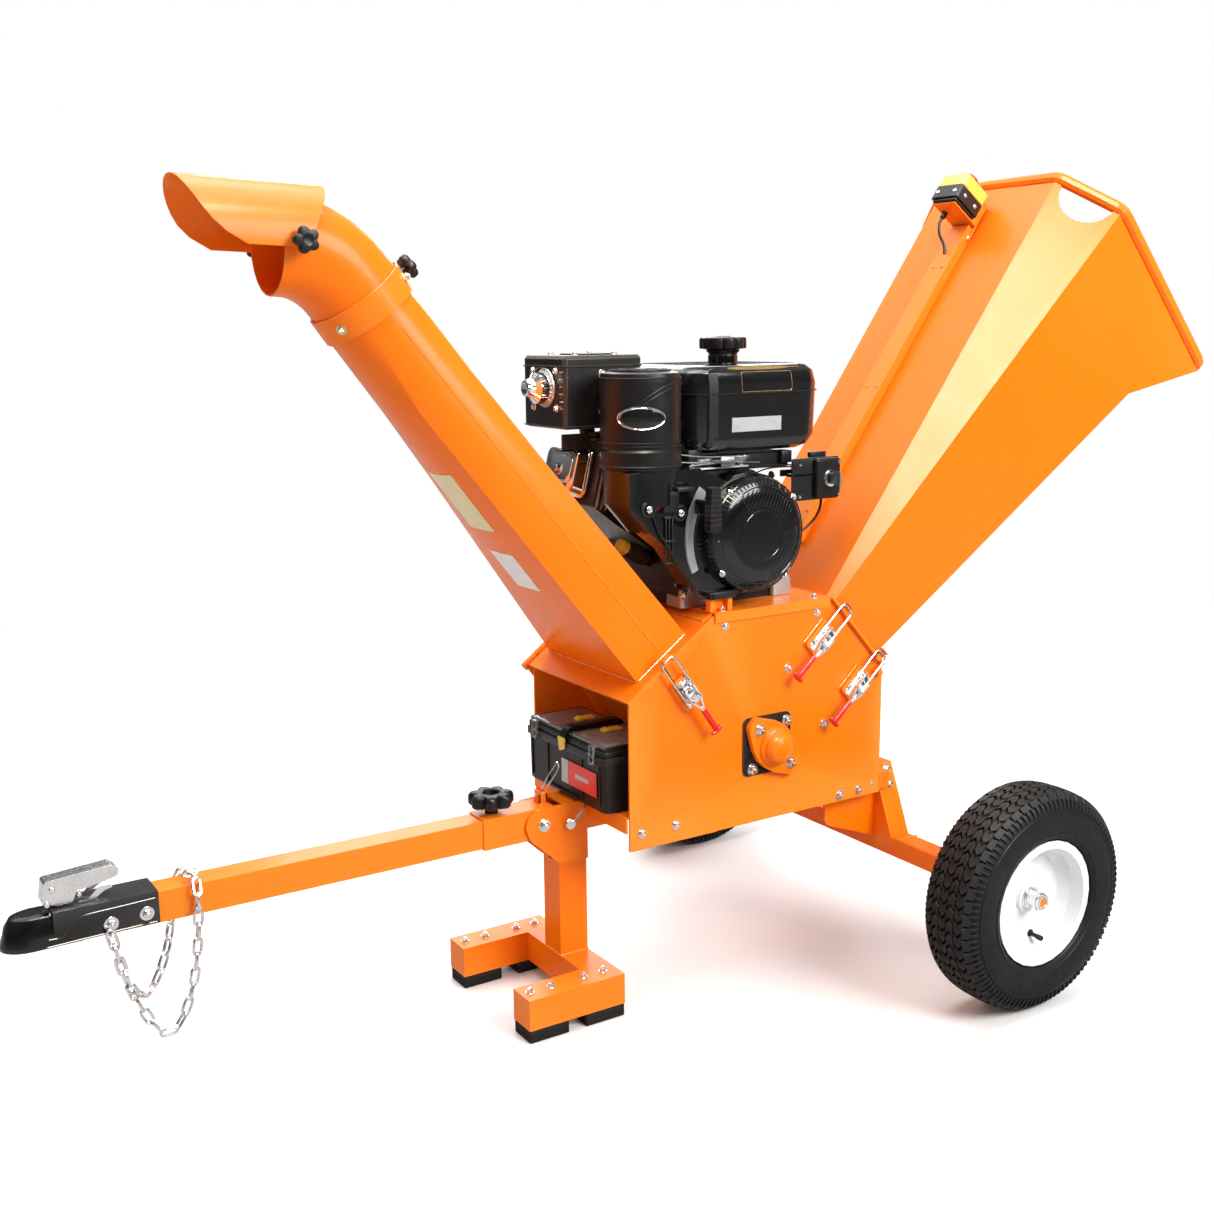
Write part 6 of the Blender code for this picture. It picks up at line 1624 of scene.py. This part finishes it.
# -------------------------------------------------------------- belt guard side
glo, ghi = box_of("belt_guard")
bm = bmesh.new()
for x, z in ((CRANK.x, CRANK.z + .048), (CRANK.x - .055, .70), (ROTOR.x - .085, ROTOR.z), (ROTOR.x + .085, ROTOR.z), (CRANK.x + .062, .70), (ROTOR.x, ROTOR.z - .088)):
    p, n = near("belt_guard", x, z, 1.)
    if p:
        hexbolt(bm, p, Y, .0058, .0048, .0088, .001)
piece("guard_bolts", bm, ZINC, "frame")
bm = bmesh.new()
for k in range(9):
    z = .560 + k * .020
    xa = ROTOR.x + (CRANK.x - ROTOR.x) * (z - ROTOR.z) / (CRANK.z - ROTOR.z)
    rings = []
    for dz, dy in ((-.0040, -.0006), (-.0018, .0030), (.0018, .0040), (.0040, -.0006)):
        rings.append([V((xa - .038, ghi.y + min(dy, 0) - .0004, z + dz)), V((xa - .034, ghi.y + dy, z + dz)), V((xa + .034, ghi.y + dy, z + dz)),
                      V((xa + .038, ghi.y + min(dy, 0) - .0004, z + dz))])
    loft([[r[i] for r in rings] for i in range(4)], bm=bm)
for c, r0 in ((ROTOR, .060), (CRANK, .038)):
    pts = [V((c.x + r0 * math.cos(2 * math.pi * k / 64), ghi.y, c.z + r0 * math.sin(2 * math.pi * k / 64))) for k in range(64)]
    sweep(pts, .0020, 8, closed=True, bm=bm)
piece("guard_louvres", bm, ORANGE, "frame")

# -------------------------------------------------------------------- toolbox
blo, bhi = box_of("toolbox")
llo, lhi = box_of("toolbox_lid")
bm = bmesh.new()
cx, hx = (blo.x + bhi.x) / 2, (bhi.x - blo.x) / 2
slab(cx, 0, hx + .0026, .1372, .010, [(bhi.z - .0150, 0), (bhi.z - .0140, -.0006), (bhi.z - .0020, -.0006), (bhi.z - .0008, .0008)], 5, bm=bm)
for y in (-.118, -.060, .060, .118):
    boxm(blo.x - .0018, blo.x + .001, y - .0016, y + .0016, blo.z + .012, bhi.z - .018, .0008, bm=bm)
boxm(blo.x - .0036, blo.x + .001, -.0550, .0550, blo.z + .0080, blo.z + .0105, .0010, bm=bm)
piece("toolbox_rim", bm, BLACK, "frame")
bm = boxm(blo.x - .0026, blo.x - .0003, -.1100, -.0150, blo.z + .0260, blo.z + .0700, .0005, 1)
piece("toolbox_label_red", bm, RED, "frame")
bm = boxm(blo.x - .0026, blo.x - .0003, -.0140, .0080, blo.z + .0260, blo.z + .0700, .0005, 1)
boxm(blo.x - .0030, blo.x - .0022, -.0850, -.0400, blo.z + .0440, blo.z + .0520, .0003, 1, bm=bm)
piece("toolbox_label_grey", bm, LABEL, "frame")
# lid: frame with two clear ribbed compartments
bm = bmesh.new()
lx0, lx1, ly = llo.x, lhi.x, lhi.y
lz = llo.z
slab((lx0 + lx1) / 2, 0, (lx1 - lx0) / 2, ly, .008, [(lz + .0002, .0006), (lz + .0010, 0), (lz + .0085, 0), (lz + .0100, .0015)], 5, bm=bm)
for sg in (-1, 1):
    yc = sg * .0700
    for x in (lx0 + .0040, lx1 - .0100):
        boxm(x, x + .0060, yc - .0570, yc + .0570, lz + .009, lhi.z - .003, .0010, bm=bm)
    for y in (yc - .0600, yc + .0540):
        boxm(lx0 + .0040, lx1 - .0040, y, y + .0060, lz + .009, lhi.z - .003, .0010, bm=bm)
    for k in range(1, 5):
        x = lx0 + .004 + k * (lx1 - lx0 - .008) / 5
        boxm(x - .0008, x + .0008, yc - .0540, yc + .0540, lz + .0095, lz + .0150, 0, bm=bm)
boxm((lx0 + lx1) / 2 - .050, (lx0 + lx1) / 2 + .050, -.0100, .0100, lz + .0095, lhi.z - .0010, .0040, 3, bm=bm)
path = smooth_path([(lx0 - .0015, 0, lz - .0150), (lx0 - .0035, 0, lz + .0060), (lx0 + .0080, 0, lhi.z + .0035), (cx - .02, 0, lhi.z + .0040), (cx + .02, 0, lhi.z + .0040),
                    (lx1 - .0080, 0, lhi.z + .0035), (lx1 + .0030, 0, lz + .0060)], 6)
rings = []
for i, p in enumerate(path):
    t = (path[min(i + 1, len(path) - 1)] - path[max(i - 1, 0)]).normalized()
    nrm = t.cross(Y).normalized()
    rings.append([p - Y * .0095 - nrm * .0020, p + Y * .0095 - nrm * .0020, p + Y * .0095 + nrm * .0020, p - Y * .0095 + nrm * .0020])
loft(rings, bm=bm)
piece("toolbox_lid_frame", bm, BLACK, "box_lid", bevel=.0006, hide=("toolbox_lid",))
bm = bmesh.new()
for sg in (-1, 1):
    yc = sg * .0700
    rows = []
    nx, ny = 26, 22
    x0, x1, y0, y1 = lx0 + .0035, lx1 - .0035, yc - .0590, yc + .0590
    topv = []
    for i in range(nx + 1):
        row = []
        for j in range(ny + 1):
            fx, fy_ = i / nx, j / ny
            edge = min(fx, 1 - fx) * nx, min(fy_, 1 - fy_) * ny
            h = lhi.z - .0010 - (.0022 if min(edge) < 1 else 0) + (.0007 if (j % 4 == 2 and min(edge) > 1) else 0)
            row.append(bm.verts.new((x0 + (x1 - x0) * fx, y0 + (y1 - y0) * fy_, h)))
        topv.append(row)
    for i in range(nx):
        for j in range(ny):
            bm.faces.new((topv[i][j], topv[i + 1][j], topv[i + 1][j + 1], topv[i][j + 1]))
    ring = [topv[i][0] for i in range(nx + 1)] + [topv[nx][j] for j in range(1, ny + 1)] + [topv[i][ny] for i in range(nx - 1, -1, -1)] \
        + [topv[0][j] for j in range(ny - 1, 0, -1)]
    low = [bm.verts.new((v.co.x, v.co.y, lhi.z - .0062)) for v in ring]
    for k in range(len(ring)):
        j = (k + 1) % len(ring)
        bm.faces.new((ring[k], low[k], low[j], ring[j]))
    bm.faces.new(low)
piece("toolbox_windows", bm, CLEAR, "box_lid")
bm = bmesh.new()
for sg in (-1, 1):
    boxm(cx - .008, cx + .030, sg * .046 - .0090, sg * .046 + .0090, lhi.z - .0014, lhi.z + .0030, .0012, 2, bm=bm)
    boxm(cx - .002, cx + .004, sg * .046 - .0110, sg * .046 + .0110, lhi.z + .0002, lhi.z + .0042, .0012, 2, bm=bm)
prism(rounded([(-.0100, lz - .0120), (.0060, lz - .0180), (.0120, lz + .0080), (-.0100, lz + .0080)], .002, 3), YZ, lx0 - .0080, lx0 - .0045, bm)
piece("toolbox_yellow_slides", bm, YELLOW, "box_lid", bevel=.0004)
bm = bmesh.new()
for sg in (-1, 1):
    for dy in (-.0085, .0055):
        boxm(lx0 - .0070, lx0 - .0035, sg * .1000 + dy, sg * .1000 + dy + .0030, lz - .0170, lz + .0140, .0008, bm=bm)
    boxm(lx0 - .0070, lx0 - .0035, sg * .1000 - .0085, sg * .1000 + .0085, lz - .0180, lz - .0130, .0010, bm=bm)
    boxm(lx0 - .0070, lx0 - .0035, sg * .1000 - .0085, sg * .1000 + .0085, lz - .0030, lz + .0005, .0010, bm=bm)
    boxm(lx0 - .0070, lx0 + .0100, sg * .1000 - .0085, sg * .1000 + .0085, lz + .0130, lz + .0165, .0012, bm=bm)
piece("toolbox_clear_latches", bm, CLEAR, "box_lid")

# ----------------------------------------------------------- floor, light, camera
bm = bmesh.new()
rows = []
for i in range(25):
    rows.append([bm.verts.new((-60 + 5 * i, -60 + 5 * j, 0)) for j in range(25)])
for a, b in zip(rows, rows[1:]):
    for i in range(24):
        bm.faces.new((a[i], b[i], b[i + 1], a[i + 1]))
me = bpy.data.meshes.new("studio_floor")
bm.to_mesh(me)
bm.free()
floor = bpy.data.objects.new("studio_floor", me)
floor.location = UNDER_AXLE
COLL.objects.link(floor)
FLOOR = mat("studio_paper", (.90, .90, .905), .80, vary=.010, vscale=2, rvary=.04, bump=.02, bscale=90, spec=.2)
me.materials.append(FLOOR)
fnt = FLOOR.node_tree
f_out = fnt.nodes["Material Output"]
f_pb = fnt.nodes["Principled BSDF"]
f_lp = fnt.nodes.new("ShaderNodeLightPath")
f_dim = fnt.nodes.new("ShaderNodeBsdfDiffuse")
f_dim.inputs[0].default_value = (.42, .41, .40, 1)
f_em = fnt.nodes.new("ShaderNodeEmission")
f_em.inputs[0].default_value = (1, 1, 1, 1)
f_em.inputs[1].default_value = 1.0
f_tc = fnt.nodes.new("ShaderNodeTexCoord")
f_len = fnt.nodes.new("ShaderNodeVectorMath")
f_len.operation = "LENGTH"
fnt.links.new(f_tc.outputs["Object"], f_len.inputs[0])
f_far = maprange(fnt, f_len.outputs["Value"], 1.7, 4.2, 0., 1.)
f_m1 = fnt.nodes.new("ShaderNodeMixShader")
fnt.links.new(f_far, f_m1.inputs[0])
fnt.links.new(f_pb.outputs[0], f_m1.inputs[1])
fnt.links.new(f_em.outputs[0], f_m1.inputs[2])
f_m2 = fnt.nodes.new("ShaderNodeMixShader")
fnt.links.new(f_lp.outputs["Is Camera Ray"], f_m2.inputs[0])
fnt.links.new(f_dim.outputs[0], f_m2.inputs[1])
fnt.links.new(f_m1.outputs[0], f_m2.inputs[2])
fnt.links.new(f_m2.outputs[0], f_out.inputs[0])

w = bpy.data.worlds.new("studio")
bpy.context.scene.world = w
w.use_nodes = True
nt = w.node_tree
bg = nt.nodes["Background"]
tc = nt.nodes.new("ShaderNodeTexCoord")
sep = nt.nodes.new("ShaderNodeSeparateXYZ")
nt.links.new(tc.outputs["Generated"], sep.inputs[0])
col = ramp(nt, maprange(nt, sep.outputs[2], -.3, 1, 0, 1), [(0, (.16, .15, .15)), (.28, (.15, .15, .16)), (.50, (.42, .42, .43)), (.74, (.95, .95, .95)), (1, (1, 1, 1))])
nt.links.new(col, bg.inputs[0])
bg.inputs[1].default_value = .72
bg2 = nt.nodes.new("ShaderNodeBackground")
bg2.inputs[0].default_value = (1, 1, 1, 1)
bg2.inputs[1].default_value = 1.0
lp = nt.nodes.new("ShaderNodeLightPath")
mx_ = nt.nodes.new("ShaderNodeMixShader")
out_ = nt.nodes["World Output"]
nt.links.new(lp.outputs["Is Camera Ray"], mx_.inputs[0])
bg3 = nt.nodes.new("ShaderNodeBackground")
nt.links.new(col, bg3.inputs[0])
bg3.inputs[1].default_value = .36
mg_ = nt.nodes.new("ShaderNodeMixShader")
nt.links.new(lp.outputs["Is Glossy Ray"], mg_.inputs[0])
nt.links.new(bg.outputs[0], mg_.inputs[1])
nt.links.new(bg3.outputs[0], mg_.inputs[2])
nt.links.new(mg_.outputs[0], mx_.inputs[1])
nt.links.new(bg2.outputs[0], mx_.inputs[2])
nt.links.new(mx_.outputs[0], out_.inputs[0])
vs_ = bpy.context.scene.view_settings
vs_.view_transform = "Standard"
vs_.look = "None"
vs_.exposure = 0.0
vs_.gamma = 1.0


def area(name, loc, target, size, power, colr=(1, 1, 1)):
    l = bpy.data.lights.new(name, "AREA")
    l.shape, l.size, l.size_y, l.energy, l.color = "RECTANGLE", size[0], size[1], power, colr
    o = bpy.data.objects.new(name, l)
    COLL.objects.link(o)
    o.location = V(loc) + UNDER_AXLE
    o.rotation_euler = (V(target) - V(loc)).to_track_quat("-Z", "Y").to_euler()
    return o


area("key_soft", (.9, -3.6, 2.9), (-.2, 0, .7), (2.4, 2.0), 205, (1, .985, .96))
area("top_soft", (-.6, .3, 4.2), (-.3, 0, .6), (3.4, 2.6), 120)
lf = area("left_fill", (-4.2, -1.2, 1.9), (-.4, 0, .7), (1.6, 2.2), 22, (1, .50, .25))
lf.visible_glossy = False
area("back_fill", (1.6, 3.8, 2.8), (0, 0, .7), (3.0, 2.2), 95)
area("floor_wash", (-1.2, 3.2, 5.0), (-.2, 1.5, 0), (4.5, 4.5), 90)

cam = bpy.data.cameras.new("view_camera")
cam.sensor_width = 36.0
cam.lens = 1410.5084 / 1214 * 36.0
cam.clip_end = 100
co = bpy.data.objects.new("view_camera", cam)
COLL.objects.link(co)
y_, p_, r_ = [R(a) for a in (32.1506, 11.1971, -.6469)]
fw = V((math.sin(y_) * math.cos(p_), math.cos(y_) * math.cos(p_), -math.sin(p_)))
rt = V((math.cos(y_), -math.sin(y_), 0))
up = rt.cross(fw)
rt2 = math.cos(r_) * rt + math.sin(r_) * up
up2 = -math.sin(r_) * rt + math.cos(r_) * up
M = Matrix((rt2, up2, -fw)).transposed().to_4x4()
M.translation = V((-1.8803, -2.106, 1.201)) + UNDER_AXLE
co.matrix_world = M
bpy.context.scene.camera = co

# a soft card whose reflection lies along the hopper's sloping near corner
eye = V((-1.8803, -2.106, 1.201))
ray = (fw + rt2 * ((972 - 607) / 1410.5) - up2 * ((400 - 607) / 1410.5)).normalized()
p, n = hit("hopper_cone", eye, ray)
if p:
    away = ray - 2 * ray.dot(n) * n
    card = area("corner_card", p + away * 2.6, p, (.9, 1.3), 150, (1, .93, .78))
    card.visible_diffuse = False

bpy.context.view_layer.update()
